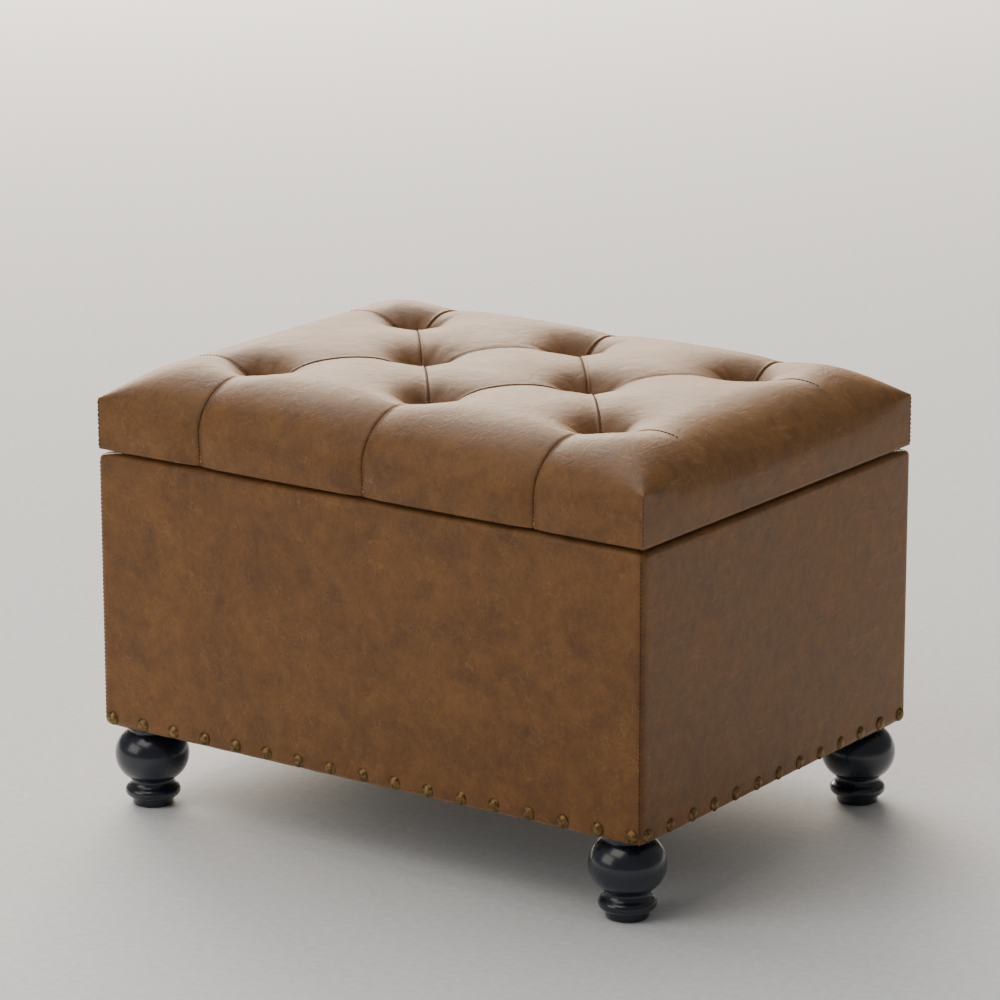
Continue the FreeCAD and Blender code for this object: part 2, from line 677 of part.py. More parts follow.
def hinges(box_screws, lid_screws):
    """Two butt hinges: the box leaf holds the pin, the lid leaf runs on it."""
    along_x = FreeCAD.Rotation(FreeCAD.Vector(0, 1, 0), 90)
    pins = []
    for name, side in SIDES.items():
        hinge_leaf(f"hinge_box_leaf_{name}", side, 0, (BASE_TOP, f"({BASE_TOP} + hinge_leaf_thickness)"),
                   "hinge_pin_radius", box_screws)
        hinge_leaf(f"hinge_lid_leaf_{name}", side, 1, (f"({LID_BOTTOM} - hinge_leaf_thickness)", LID_BOTTOM),
                   "hinge_pin_radius + hinge_pin_clearance", lid_screws)
        start = f"({side} * hinge_spacing / 2 - hinge_length / 2)"
        pins.append(rod("HingePin", "hinge_pin_radius", "hinge_length", (start, HINGE_Y, HINGE_Z), along_x))
    node("hinge_pins", group("hinge_pins", pins))


# ---------------------------------------------------------------- lid stays

def stay_arm(name, side):
    """A slotted arm: it hangs on its pivot and its slot slides on the stud."""
    body = body_with(f"stay_arm_{name}")
    sketch = sketch_on(body, "YZ_Plane")
    half = "(stay_arm_width / 2)"
    end = f"({SLOT_END} + stay_arm_end - {half})"
    draw_slot(sketch, half, "0", f"(0 - {end})")
    draw_slot(sketch, SLOT_HALF, f"(0 - {SLOT_START})", f"(0 - {SLOT_END})")
    draw_circle(sketch, "0", "0", "stay_rivet_radius + stay_pivot_clearance")
    pad(body, sketch, "stay_arm_thickness")
    body.Placement = FreeCAD.Placement(
        FreeCAD.Vector(), FreeCAD.Rotation(FreeCAD.Vector(1, 0, 0), value(ARM_LEAN)))
    bind(body, Placement__Rotation__Angle=ARM_LEAN)
    place(body, on_side(side, ARM_INNER_X, ARM_OUTER_X)[0], PIVOT_Y, PIVOT_Z)
    node(body.Name, body)


def stepped_pin(name, side, y, z, steps):
    """A turned pin along X: each step is (radius, inner X, outer X)."""
    along_x = FreeCAD.Rotation(FreeCAD.Vector(0, 1, 0), 90)
    pieces = []
    for radius, inner, outer in steps:
        low, high = on_side(side, inner, outer)
        pieces.append(rod(f"{name}Step", radius, f"{high} - {low}", (low, y, z), along_x))
    return node(name, fused(name, pieces))


def stay_stud(name, side):
    """The stud on the wall plate: a collar, a shoulder that runs in the slot, and a head."""
    collar_face = f"({PLATE_FACE_X} - stay_collar_height)"
    return stepped_pin(f"stay_stud_{name}", side, STUD_Y, STUD_Z, [
        ("stay_stud_radius", WEB_OUTER_X, WALL_FACE_X),
        ("stay_collar_radius", collar_face, PLATE_FACE_X),
        ("stay_head_radius", f"({WEB_OUTER_X} - stay_head_height)", WEB_OUTER_X),
    ])


def stay_rivet(name, side):
    """The rivet that the arm turns on, held in the lid bracket."""
    outer_face = f"({ARM_OUTER_X} + stay_side_clearance)"
    return stepped_pin(f"stay_rivet_{name}", side, PIVOT_Y, PIVOT_Z, [
        ("stay_rivet_radius", WEB_INNER_X, outer_face),
        ("stay_rivet_head_radius", f"({WEB_INNER_X} - stay_rivet_head_height)", WEB_INNER_X),
        ("stay_rivet_head_radius", outer_face, f"({outer_face} + stay_rivet_head_height)"),
    ])


def stay_wall_plate(name, side, stud, screws):
    """The plate on the side wall that carries the stud."""
    plate = block(f"WallPlate{name}", on_side(side, PLATE_FACE_X, WALL_FACE_X),
                  (f"({STUD_Y} - wall_plate_half_width)", f"({STUD_Y} + wall_plate_half_width)"),
                  (f"({STUD_Z} - wall_plate_half_height)", f"({STUD_Z} + wall_plate_half_height)"))
    corners = rounded(f"WallPlateRounded{name}", plate, is_across, "wall_plate_half_width / 2")
    node(f"stay_wall_plate_{name}", cut(f"stay_wall_plate_{name}", corners, group(f"WallHoles{name}",
                                                                               [stud, screws])))


def is_across(edge):
    """True for a straight edge along X."""
    direction = edge.tangentAt(edge.FirstParameter)
    return edge.Curve.TypeId == "Part::GeomLine" and abs(direction.x) > 0.99


def stay_bracket(name, side, rivet, screws):
    """An angle under the lid: a flange on the lining and a web that holds the rivet."""
    top = LID_LINING_BOTTOM
    web = block(f"BracketWeb{name}", on_side(side, WEB_INNER_X, WEB_OUTER_X),
                (f"({PIVOT_Y} - bracket_half_width)", f"({PIVOT_Y} + bracket_half_width)"), (PIVOT_Z, top))
    along_x = FreeCAD.Rotation(FreeCAD.Vector(0, 1, 0), 90)
    nose = rod(f"BracketNose{name}", "bracket_half_width", "stay_plate_thickness",
               (on_side(side, WEB_INNER_X, WEB_OUTER_X)[0], PIVOT_Y, PIVOT_Z), along_x)
    flange = block(f"BracketFlange{name}",
                   on_side(side, f"({WEB_OUTER_X} - bracket_flange_width)", WEB_OUTER_X),
                   (f"({PIVOT_Y} - bracket_flange_half_length)", f"({PIVOT_Y} + bracket_flange_half_length)"),
                   (f"({top} - stay_plate_thickness)", top))
    angle = fused(f"BracketAngle{name}", [web, nose, flange])
    node(f"stay_bracket_{name}", cut(f"stay_bracket_{name}", angle, group(f"BracketHoles{name}",
                                                                       [rivet, screws])))


def stays(wall_screws, lid_screws):
    """A sliding lid stay at each end of the compartment."""
    for name, side in SIDES.items():
        stay_arm(name, side)
        stay_wall_plate(name, side, stay_stud(name, side), wall_screws)
        stay_bracket(name, side, stay_rivet(name, side), lid_screws)


# ---------------------------------------------------------------- whole ottoman

def build_ottoman():
    """Build the fasteners first, then the pieces that they pass through."""
    nails = nail_rows()
    box_hinge_screws, lid_hinge_screws = hinge_screws()
    wall_screws, lid_stay_screws = stay_screws()
    bolts = foot_bolts()
    anchors, ties = tuft_hardware()

    in_panels = group("HolesInPanels", [nails, box_hinge_screws, wall_screws])
    box_panels(in_panels)
    corner_blocks(bolts)
    box_floor()
    core = rounded_box("Core", "leather_thickness", PANEL_BOTTOM, PANEL_TOP)
    box_batting(core, nails)
    box_cover(core, group("HolesInCover", [nails, box_hinge_screws]))
    box_lining(wall_screws)
    node("dust_cover", cut("dust_cover", dust_cover(), bolts))
    feet()

    board = block("LidBoardWhole", both_ways(BOARD_X), both_ways(BOARD_Y), (BOARD_BOTTOM, BOARD_TOP))
    lid_screws = group("ScrewsInLid", [lid_hinge_screws, lid_stay_screws])
    lid_board(board, group("HolesInBoard", [lid_screws, anchors, ties]))
    lid_pad(board, ties)
    lid_cover(lid_hinge_screws)
    lid_lining(lid_stay_screws)
    lid_bumpers()

    hinges(box_hinge_screws, lid_hinge_screws)
    stays(wall_screws, lid_stay_screws)


def check_document():
    """Stop if any object failed, or if a sub-part is empty or not valid."""
    doc.recompute()
    failed = [item.Label for item in doc.Objects if {"Invalid", "Error"} & set(item.State)]
    failed += [name for name, piece in nodes.items() if piece.Shape.isNull() or not piece.Shape.isValid()]
    if failed:
        raise RuntimeError("failed: " + ", ".join(failed))


def write_parts():
    """Write each sub-part to its own STEP file."""
    os.makedirs("parts", exist_ok=True)
    for name, piece in nodes.items():
        piece.Shape.exportStep(f"parts/{name}.step")
        print(f"{name}: {len(piece.Shape.Solids)} solids, {piece.Shape.Volume / 1000:.2f} cm3")


fill_sheet()
build_ottoman()
check_document()
write_parts()
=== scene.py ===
"""Looks of a leather storage ottoman: tufted lid, leather-covered box, nailheads and turned feet.

Everything is in metres, in the frame's own axes: +X along the long side, +Y to the rear, +Z up.
"""

import json
import logging
import math
import random
from collections.abc import Callable, Iterable
from dataclasses import dataclass, field
from enum import Enum

import bmesh
import bpy
import numpy as np
from mathutils import Matrix, Vector
from mathutils.bvhtree import BVHTree
from mathutils.geometry import normal
from mathutils.interpolate import poly_3d_calc

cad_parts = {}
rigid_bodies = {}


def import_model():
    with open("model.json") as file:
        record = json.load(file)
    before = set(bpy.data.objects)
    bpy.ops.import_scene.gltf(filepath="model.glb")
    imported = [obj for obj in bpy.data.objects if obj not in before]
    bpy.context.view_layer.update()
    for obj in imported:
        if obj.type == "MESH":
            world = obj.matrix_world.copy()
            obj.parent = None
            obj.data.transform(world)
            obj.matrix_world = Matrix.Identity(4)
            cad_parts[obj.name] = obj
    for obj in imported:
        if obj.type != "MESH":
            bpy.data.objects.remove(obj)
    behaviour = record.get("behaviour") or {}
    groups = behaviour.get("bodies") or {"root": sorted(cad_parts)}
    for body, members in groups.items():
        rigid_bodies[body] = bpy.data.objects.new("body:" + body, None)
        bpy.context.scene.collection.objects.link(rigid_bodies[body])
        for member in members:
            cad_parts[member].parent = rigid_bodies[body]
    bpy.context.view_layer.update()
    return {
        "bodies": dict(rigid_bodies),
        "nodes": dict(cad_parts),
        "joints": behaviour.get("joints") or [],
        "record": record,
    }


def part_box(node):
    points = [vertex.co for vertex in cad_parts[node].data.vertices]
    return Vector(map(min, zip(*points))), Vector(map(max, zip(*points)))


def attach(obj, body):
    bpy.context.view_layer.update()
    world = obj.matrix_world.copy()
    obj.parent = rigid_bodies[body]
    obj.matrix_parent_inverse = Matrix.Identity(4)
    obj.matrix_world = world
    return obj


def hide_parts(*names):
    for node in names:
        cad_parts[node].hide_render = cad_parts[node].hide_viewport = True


log = logging.getLogger("ottoman")

MM = 0.001
WELD = 0.01 * MM
STITCH_PITCH = 4.0 * MM
STITCH_ENDS = (0.14, 0.86)
THREAD_RADIUS = 0.5 * MM
THREAD_LIFT = 0.45 * MM

Colour = tuple[float, float, float, float]
Outline = list[tuple[float, float]]


class BoxSide(Enum):
    """The four sides of the box, each with the turn that brings the front there."""

    FRONT = ("front", 0)
    RIGHT = ("right", 90)
    REAR = ("rear", 180)
    LEFT = ("left", 270)

    @property
    def label(self) -> str:
        """The side's name in the frame's nodes."""
        return self.value[0]

    @property
    def turn(self) -> Matrix:
        """The rotation about Z from the front to this side."""
        return Matrix.Rotation(math.radians(self.value[1]), 4, "Z")

    @property
    def is_long(self) -> bool:
        """True for the two sides that run along X."""
        return self in (BoxSide.FRONT, BoxSide.REAR)


# ---------------------------------------------------------------- shader maths


class Value:
    """A number or a socket in a material, with arithmetic that adds Math nodes."""

    def __init__(self, paint: "Paint", source: object) -> None:
        """Wrap a source.

        Args:
            paint: the material being built.
            source: an output socket or a plain number.
        """
        self.paint = paint
        self.source = source

    def _math(self, operation: str, *inputs: object) -> "Value":
        """Add one Math node.

        Args:
            operation: the node's operation.
            inputs: its inputs, in order.

        Returns:
            The node's output.
        """
        return self.paint.node("ShaderNodeMath", {"operation": operation}, dict(enumerate(inputs)))

    def __add__(self, other: object) -> "Value":
        """This plus another."""
        return self._math("ADD", self, other)

    __radd__ = __add__

    def __sub__(self, other: object) -> "Value":
        """This minus another."""
        return self._math("SUBTRACT", self, other)

    def __rsub__(self, other: object) -> "Value":
        """Another minus this."""
        return self._math("SUBTRACT", other, self)

    def __mul__(self, other: object) -> "Value":
        """This times another."""
        return self._math("MULTIPLY", self, other)

    __rmul__ = __mul__

    def clamped(self) -> "Value":
        """This held between 0 and 1."""
        return self._math("MINIMUM", self._math("MAXIMUM", self, 0.0), 1.0)

    def distance_to(self, level: float) -> "Value":
        """How far this lies from a level."""
        return self._math("ABSOLUTE", self - level)

    def step(self, low: float, high: float) -> "Value":
        """A smooth ramp from 0 at low to 1 at high.

        Args:
            low: where the ramp starts.
            high: where it ends, which may be below low.

        Returns:
            The ramp.
        """
        return ((self - low) * (1.0 / (high - low))).clamped()


class Paint:
    """A node material under construction."""

    def __init__(self, name: str) -> None:
        """Start an empty material.

        Args:
            name: the material's name.
        """
        self.material = bpy.data.materials.new(name)
        self.material.use_nodes = True
        self.tree = self.material.node_tree
        self.tree.nodes.clear()
        self.place = self.node("ShaderNodeTexCoord", {}, {}, "Object")

    def node(self, kind: str, settings: dict, inputs: dict, output: object = 0) -> Value:
        """Add one node.

        Args:
            kind: the node's type.
            settings: its properties; a list of stops sets a ramp.
            inputs: a value, Value or socket for each named or numbered input.
            output: the name or number of the output to return.

        Returns:
            That output.
        """
        node = self.tree.nodes.new(kind)
        for key, setting in settings.items():
            if key == "stops":
                self._set_stops(node.color_ramp, setting)
            else:
                setattr(node, key, setting)
        for key, value in inputs.items():
            source = value.source if isinstance(value, Value) else value
            if isinstance(source, bpy.types.NodeSocket):
                self.tree.links.new(source, node.inputs[key])
            else:
                node.inputs[key].default_value = source
        return Value(self, node.outputs[output])

    @staticmethod
    def _set_stops(ramp: bpy.types.ColorRamp, stops: list) -> None:
        """Set a ramp's stops.

        Args:
            ramp: the ramp.
            stops: (position, colour) pairs, in order.
        """
        while len(ramp.elements) > 1:
            ramp.elements.remove(ramp.elements[-1])
        ramp.elements[0].position, ramp.elements[0].color = stops[0]
        for position, colour in stops[1:]:
            ramp.elements.new(position).color = colour

    def noise(self, scale: float, detail: float = 3.0, roughness: float = 0.55, distortion: float = 0.0,
              where: object = None) -> Value:
        """Add a noise pattern.

        Args:
            scale: cells in a metre.
            detail: its octaves.
            roughness: how strong the fine octaves are.
            distortion: how much it swirls.
            where: the coordinates, or the object's own.

        Returns:
            The pattern, about 0.5 on average.
        """
        inputs = {"Vector": where or self.place, "Scale": scale, "Detail": detail,
                  "Roughness": roughness, "Distortion": distortion}
        return self.node("ShaderNodeTexNoise", {}, inputs, "Fac")

    def stretched(self, scale: tuple, turn: tuple = (0.0, 0.0, 0.0)) -> Value:
        """The object's coordinates, turned and scaled.

        Args:
            scale: the factor on each axis.
            turn: the turn about each axis, in degrees.

        Returns:
            The coordinates.
        """
        angles = tuple(math.radians(angle) for angle in turn)
        return self.node("ShaderNodeMapping", {}, {"Vector": self.place, "Rotation": angles, "Scale": scale})

    def mix(self, factor: Value, first: object, second: object) -> Value:
        """Mix two colours.

        Args:
            factor: how much of the second.
            first: the first colour.
            second: the second colour.

        Returns:
            The mixed colour.
        """
        return self.node("ShaderNodeMix", {"data_type": "RGBA"}, {0: factor, 6: first, 7: second}, 2)

    def bump(self, height: Value, depth: float, strength: float = 1.0, under: object = None) -> Value:
        """Turn a height pattern into a normal.

        Args:
            height: the pattern.
            depth: its depth in metres.
            strength: its strength, 0 to 1.
            under: another bump's normal that this one lies on.

        Returns:
            The normal.
        """
        inputs = {"Strength": strength, "Distance": depth, "Height": height}
        if under is not None:
            inputs["Normal"] = under
        return self.node("ShaderNodeBump", {}, inputs)

    def finish(self, **sockets: object) -> bpy.types.Material:
        """Close the material with one Principled shader.

        Args:
            sockets: its inputs, an underscore in a name standing for a space.

        Returns:
            The material.
        """
        inputs = {name.replace("_", " "): value for name, value in sockets.items()}
        shader = self.node("ShaderNodeBsdfPrincipled", {}, inputs)
        output = self.tree.nodes.new("ShaderNodeOutputMaterial")
        self.tree.links.new(shader.source, output.inputs["Surface"])
        return self.material


def rgb(red: int, green: int, blue: int) -> Colour:
    """A colour given as screen values.

    Args:
        red: 0 to 255.
        green: 0 to 255.
        blue: 0 to 255.

    Returns:
        The colour as linear numbers with full alpha.
    """
    def linear(level: int) -> float:
        """One channel, made linear."""
        share = level / 255
        return share / 12.92 if share <= 0.04045 else ((share + 0.055) / 1.055) ** 2.4

    return (linear(red), linear(green), linear(blue), 1.0)


# ---------------------------------------------------------------- finishes


@dataclass(frozen=True)
class DistressedLeather:
    """Brown leather with soft dark clouds, rubbed light patches and fine hairline creases, the creases also
    painted darker as painted shade.
    """

    name: str = "distressed_leather"
    dark: Colour = rgb(78, 47, 16)
    middle: Colour = rgb(104, 66, 24)
    light: Colour = rgb(128, 86, 38)
    haze: Colour = rgb(232, 190, 144)
    scratch: Colour = rgb(158, 118, 82)
    shade_levels: tuple = (0.34, 0.48, 0.66)
    cloud_scale: float = 20.0
    patch_scale: float = 68.0
    speck_scale: float = 320.0
    cloud_share: float = 0.38
    patch_share: float = 0.4
    speck_share: float = 0.22
    scratch_runs: tuple = ((20.0, 70.0), (105.0, 60.0), (155.0, 85.0))
    scratch_strength: float = 0.3
    crease_runs: tuple = ((4.0, 52.0), (172.0, 64.0))
    # how far the crease lines are painted towards the dark colour: painted shade in the creases
    crease_painted_shade: float = 0.18
    hairline_width: float = 0.016
    hairline_depth: float = 0.2 * MM
    rumple_scale: float = 44.0
    rumple_depth: float = 1.6 * MM
    wrinkle_scale: float = 140.0
    wrinkle_depth: float = 0.5 * MM
    grain_scale: float = 900.0
    pore_scale: float = 620.0
    grain_depth: float = 0.12 * MM
    roughness: float = 0.5
    shade_roughness: float = 0.35
    grain_roughness: float = 0.12

    def hairlines(self, paint: Paint, runs: tuple) -> Value:
        """Fine broken lines that run in several directions.

        Args:
            paint: the material being built.
            runs: the direction in degrees and the lines in a metre, of each.

        Returns:
            1 on the lines, 0 elsewhere.
        """
        total = None
        for turn, scale in runs:
            where = paint.stretched((1.0, 0.12, 1.0), (turn * 0.7, turn * 0.4, turn))
            middle = paint.noise(scale, detail=2.0, roughness=0.5, distortion=0.15, where=where)
            broken = paint.noise(scale * 0.6, detail=3.0, roughness=0.6).step(0.52, 0.66)
            lines = middle.distance_to(0.5).step(self.hairline_width, 0.0) * broken
            total = lines if total is None else total + lines
        return total.clamped()

    def build(self) -> bpy.types.Material:
        """Build the material.

        Returns:
            The material.
        """
        paint = Paint(self.name)
        clouds = paint.noise(self.cloud_scale, detail=5.0, roughness=0.62, distortion=0.7)
        patches = paint.noise(self.patch_scale, detail=5.0, roughness=0.68, distortion=0.4)
        specks = paint.noise(self.speck_scale, detail=4.0, roughness=0.7)
        shade = clouds * self.cloud_share + patches * self.patch_share + specks * self.speck_share
        stops = list(zip(self.shade_levels, (self.dark, self.middle, self.light)))
        colour = paint.node("ShaderNodeValToRGB", {"stops": stops}, {"Fac": shade}, "Color")
        scratches = self.hairlines(paint, self.scratch_runs)
        colour = paint.mix(scratches * self.scratch_strength, colour, self.scratch)
        # The hairline creases are painted darker: painted shade along the creases, besides their bump in the
        # relief below.
        creases = self.hairlines(paint, self.crease_runs)
        colour = paint.mix(creases * self.crease_painted_shade, colour, self.dark)
        grain = paint.noise(self.grain_scale, detail=3.0, roughness=0.6)
        pores = paint.node("ShaderNodeTexVoronoi", {"feature": "F1"},
                           {"Vector": paint.place, "Scale": self.pore_scale}, "Distance")
        rumples = paint.noise(self.rumple_scale, detail=3.0, roughness=0.58, distortion=1.1)
        wrinkles = paint.noise(self.wrinkle_scale, detail=4.0, roughness=0.6, distortion=1.2)
        relief = paint.bump(rumples, self.rumple_depth, 0.5)
        relief = paint.bump(wrinkles, self.wrinkle_depth, 0.4, relief)
        relief = paint.bump(grain * 0.5 + pores * 0.5, self.grain_depth, 0.5, relief)
        relief = paint.bump(scratches + creases, -self.hairline_depth, 0.5, relief)
        rough = self.roughness + (shade - 0.5) * self.shade_roughness + (grain - 0.5) * self.grain_roughness
        return paint.finish(Base_Color=colour, Roughness=rough, Normal=relief, Specular_IOR_Level=0.4,
                            Sheen_Weight=0.42, Sheen_Roughness=0.45, Sheen_Tint=self.haze)


@dataclass(frozen=True)
class SatinPaint:
    """Dark paint on turned wood, worn a little in random patches."""

    name: str = "black_foot_paint"
    colour: Colour = rgb(5, 21, 36)
    worn: Colour = rgb(15, 38, 56)
    grain_scale: float = 60.0
    mottle_scale: float = 34.0
    spray_scale: float = 700.0

    def build(self) -> bpy.types.Material:
        """Build the material.

        Returns:
            The material.
        """
        paint = Paint(self.name)
        upright = paint.stretched((1.0, 1.0, 0.15))
        grain = paint.noise(self.grain_scale, detail=4.0, roughness=0.6, where=upright)
        mottle = paint.noise(self.mottle_scale, detail=4.0, roughness=0.6)
        colour = paint.mix(mottle.step(0.5, 0.75) * 0.4, self.colour, self.worn)
        relief = paint.bump(grain, 0.25 * MM, 0.3)
        relief = paint.bump(paint.noise(self.spray_scale, detail=2.0), 0.03 * MM, 0.3, relief)
        return paint.finish(Base_Color=colour, Roughness=0.2 + mottle * 0.14, Normal=relief,
                            Coat_Weight=0.35, Coat_Roughness=0.1)


@dataclass(frozen=True)
class AntiqueBrass:
    """Dark brass nailheads, rubbed brighter in small random patches."""

    name: str = "antique_brass"
    dark: Colour = rgb(84, 66, 40)
    rubbed: Colour = rgb(150, 122, 80)
    stain_scale: float = 300.0
    dent_scale: float = 240.0

    def build(self) -> bpy.types.Material:
        """Build the material.

        Returns:
            The material.
        """
        paint = Paint(self.name)
        stain = paint.noise(self.stain_scale, detail=3.0, roughness=0.55)
        dents = paint.noise(self.dent_scale, detail=2.0, roughness=0.5)
        colour = paint.mix(stain.step(0.36, 0.7), self.dark, self.rubbed)
        return paint.finish(Base_Color=colour, Metallic=0.9, Roughness=0.3 + stain * 0.25,
                            Normal=paint.bump(dents, 0.25 * MM, 0.3))


@dataclass(frozen=True)
class PlatedSteel:
    """Zinc-plated steel for hinges, stays and screws."""

    name: str = "plated_steel"
    colour: Colour = rgb(176, 176, 172)
    dull: Colour = rgb(132, 130, 124)
    brush_scale: float = 300.0
    stain_scale: float = 70.0

    def build(self) -> bpy.types.Material:
        """Build the material.

        Returns:
            The material.
        """
        paint = Paint(self.name)
        lengthways = paint.stretched((0.08, 1.0, 1.0))
        brushed = paint.noise(self.brush_scale, detail=3.0, roughness=0.6, where=lengthways)
        stain = paint.noise(self.stain_scale, detail=3.0)
        colour = paint.mix(stain * 0.5, self.colour, self.dull)
        return paint.finish(Base_Color=colour, Metallic=1.0, Roughness=0.3 + stain * 0.2,
                            Normal=paint.bump(brushed, 0.05 * MM, 0.5))


@dataclass(frozen=True)
class WovenCloth:
    """Plain woven cloth for the linings and the dust cover."""

    name: str = "lining_cloth"
    colour: Colour = rgb(38, 35, 33)
    lint: Colour = rgb(70, 65, 60)
    threads: float = 1400.0
    bands_per_scale: float = 6.3
    fuzz_scale: float = 260.0
    slack_scale: float = 22.0

    def build(self) -> bpy.types.Material:
        """Build the material.

        Returns:
            The material.
        """
        paint = Paint(self.name)
        weave = None
        for direction in ("X", "Y", "Z"):
            settings = {"wave_type": "BANDS", "bands_direction": direction}
            inputs = {"Vector": paint.place, "Scale": self.threads / self.bands_per_scale, "Distortion": 0.6}
            wave = paint.node("ShaderNodeTexWave", settings, inputs, "Fac")
            weave = wave if weave is None else weave + wave
        fuzz = paint.noise(self.fuzz_scale, detail=4.0, roughness=0.7)
        colour = paint.mix(fuzz.step(0.45, 0.8), self.colour, self.lint)
        relief = paint.bump(weave, 0.2 * MM, 0.5)
        relief = paint.bump(paint.noise(self.slack_scale, detail=3.0), 1.5 * MM, 0.4, relief)
        return paint.finish(Base_Color=colour, Roughness=0.92, Normal=relief, Sheen_Weight=0.25)


@dataclass(frozen=True)
class RawBoard:
    """Pale raw board with a long grain."""

    name: str = "raw_board"
    light: Colour = rgb(206, 176, 134)
    dark: Colour = rgb(168, 132, 92)
    grain_scale: float = 90.0

    def build(self) -> bpy.types.Material:
        """Build the material.

        Returns:
            The material.
        """
        paint = Paint(self.name)
        lengthways = paint.stretched((0.08, 1.0, 1.0))
        grain = paint.noise(self.grain_scale, detail=6.0, roughness=0.7, distortion=1.0, where=lengthways)
        colour = paint.mix(grain.step(0.35, 0.7), self.light, self.dark)
        return paint.finish(Base_Color=colour, Roughness=0.7, Normal=paint.bump(grain, 0.3 * MM, 0.4))


@dataclass(frozen=True)
class SoftFill:
    """Foam, batting, thread and rubber: one colour with fine open grain."""

    name: str
    colour: Colour
    shadow: Colour
    scale: float
    roughness: float = 0.9

    def build(self) -> bpy.types.Material:
        """Build the material.

        Returns:
            The material.
        """
        paint = Paint(self.name)
        cells = paint.noise(self.scale, detail=3.0, roughness=0.6)
        colour = paint.mix(cells.step(0.35, 0.65), self.shadow, self.colour)
        return paint.finish(Base_Color=colour, Roughness=self.roughness,
                            Normal=paint.bump(cells, 0.4 * MM, 0.5))


@dataclass
class Finishes:
    """Every finish, built once."""

    leather: bpy.types.Material = field(default_factory=lambda: DistressedLeather().build())
    foot: bpy.types.Material = field(default_factory=lambda: SatinPaint().build())
    brass: bpy.types.Material = field(default_factory=lambda: AntiqueBrass().build())
    steel: bpy.types.Material = field(default_factory=lambda: PlatedSteel().build())
    cloth: bpy.types.Material = field(default_factory=lambda: WovenCloth().build())
    board: bpy.types.Material = field(default_factory=lambda: RawBoard().build())
    foam: bpy.types.Material = field(default_factory=lambda: SoftFill(
        "open_foam", rgb(232, 222, 190), rgb(206, 192, 156), scale=900.0).build())
    thread: bpy.types.Material = field(default_factory=lambda: SoftFill(
        "seam_thread", rgb(48, 30, 18), rgb(30, 19, 12), scale=2200.0, roughness=0.6).build())
    rubber: bpy.types.Material = field(default_factory=lambda: SoftFill(
        "black_rubber", rgb(30, 30, 30), rgb(18, 18, 18), scale=500.0, roughness=0.75).build())


# ---------------------------------------------------------------- pieces


def add_piece(name: str, mesh: bmesh.types.BMesh, material: bpy.types.Material, body: str) -> bpy.types.Object:
    """Turn a bmesh into a piece of the ottoman.

    Args:
        name: the piece's name.
        mesh: its bmesh, which is freed.
        material: its finish.
        body: the CAD body that it rides on.

    Returns:
        The piece.
    """
    data = bpy.data.meshes.new(name)
    mesh.to_mesh(data)
    mesh.free()
    data.polygons.foreach_set("use_smooth", [True] * len(data.polygons))
    data.materials.append(material)
    piece = bpy.data.objects.new(name, data)
    bpy.context.scene.collection.objects.link(piece)
    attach(piece, body)
    log.info("%s: %d faces on %s", name, len(data.polygons), body)
    return piece


def add_stitch(mesh: bmesh.types.BMesh, start: Vector, stop: Vector, outward: Vector) -> None:
    """Lay one stitch between two needle holes.

    Args:
        mesh: the stitches so far.
        start: the first hole.
        stop: the second hole.
        outward: the leather's normal there.
    """
    along = (stop - start).normalized()
    across = outward.cross(along).normalized()
    up = along.cross(across)
    turn = Matrix((along, across, up)).transposed().to_4x4()
    scale = Matrix.Diagonal(((stop - start).length / 2, THREAD_RADIUS, THREAD_RADIUS, 1.0))
    place = Matrix.Translation((start + stop) / 2 + up * THREAD_LIFT)
    bmesh.ops.create_uvsphere(mesh, u_segments=6, v_segments=4, radius=1.0,
                              matrix=place @ turn @ scale @ Matrix.Rotation(math.pi / 2, 4, "Y"))


def unique(items: Iterable) -> list:
    """The items of a series, each once, in their first order."""
    return list(dict.fromkeys(items))


# ---------------------------------------------------------------- tufted lid


@dataclass(frozen=True)
class Seam:
    """One straight seam of the lid's leather, laid flat."""

    start: Vector
    end: Vector
    to_edge: bool
    fade: tuple[float, float] = (1.0, 2.0)

    def strength(self, along: float) -> float:
        """How plain the seam is, 1 to 0, at a place along it; it fades out between the two fades."""
        first, last = self.fade
        return min(max((last - along) / (last - first), 0.0), 1.0)

    @property
    def along(self) -> Vector:
        """The seam's direction."""
        return (self.end - self.start).normalized()

    @property
    def across(self) -> Vector:
        """The direction across it, towards its folded lip."""
        return Vector((-self.along.y, self.along.x))

    @property
    def length(self) -> float:
        """The seam's length."""
        return (self.end - self.start).length

    def measure(self, point: Vector) -> tuple[float, float]:
        """Where a point lies from the seam.

        Args:
            point: the point on the flat leather.

        Returns:
            How far along the seam it lies, and how far to the lip's side.
        """
        offset = point - self.start
        return offset.dot(self.along), offset.dot(self.across)

    def gap(self, point: Vector) -> float:
        """The point's distance from the nearest point of the seam."""
        along, across = self.measure(point)
        beyond = max(-along, along - self.length, 0.0)
        return math.hypot(across, beyond)


LID_CLOTH = {
    "vertex_group_mass": "held", "quality": 6, "mass": 0.5, "tension_stiffness": 18,
    "compression_stiffness": 8, "shear_stiffness": 6, "bending_stiffness": 4.0, "air_damping": 2,
    "shrink_min": 0.0, "use_pressure": True, "uniform_pressure_force": 2.0,
}


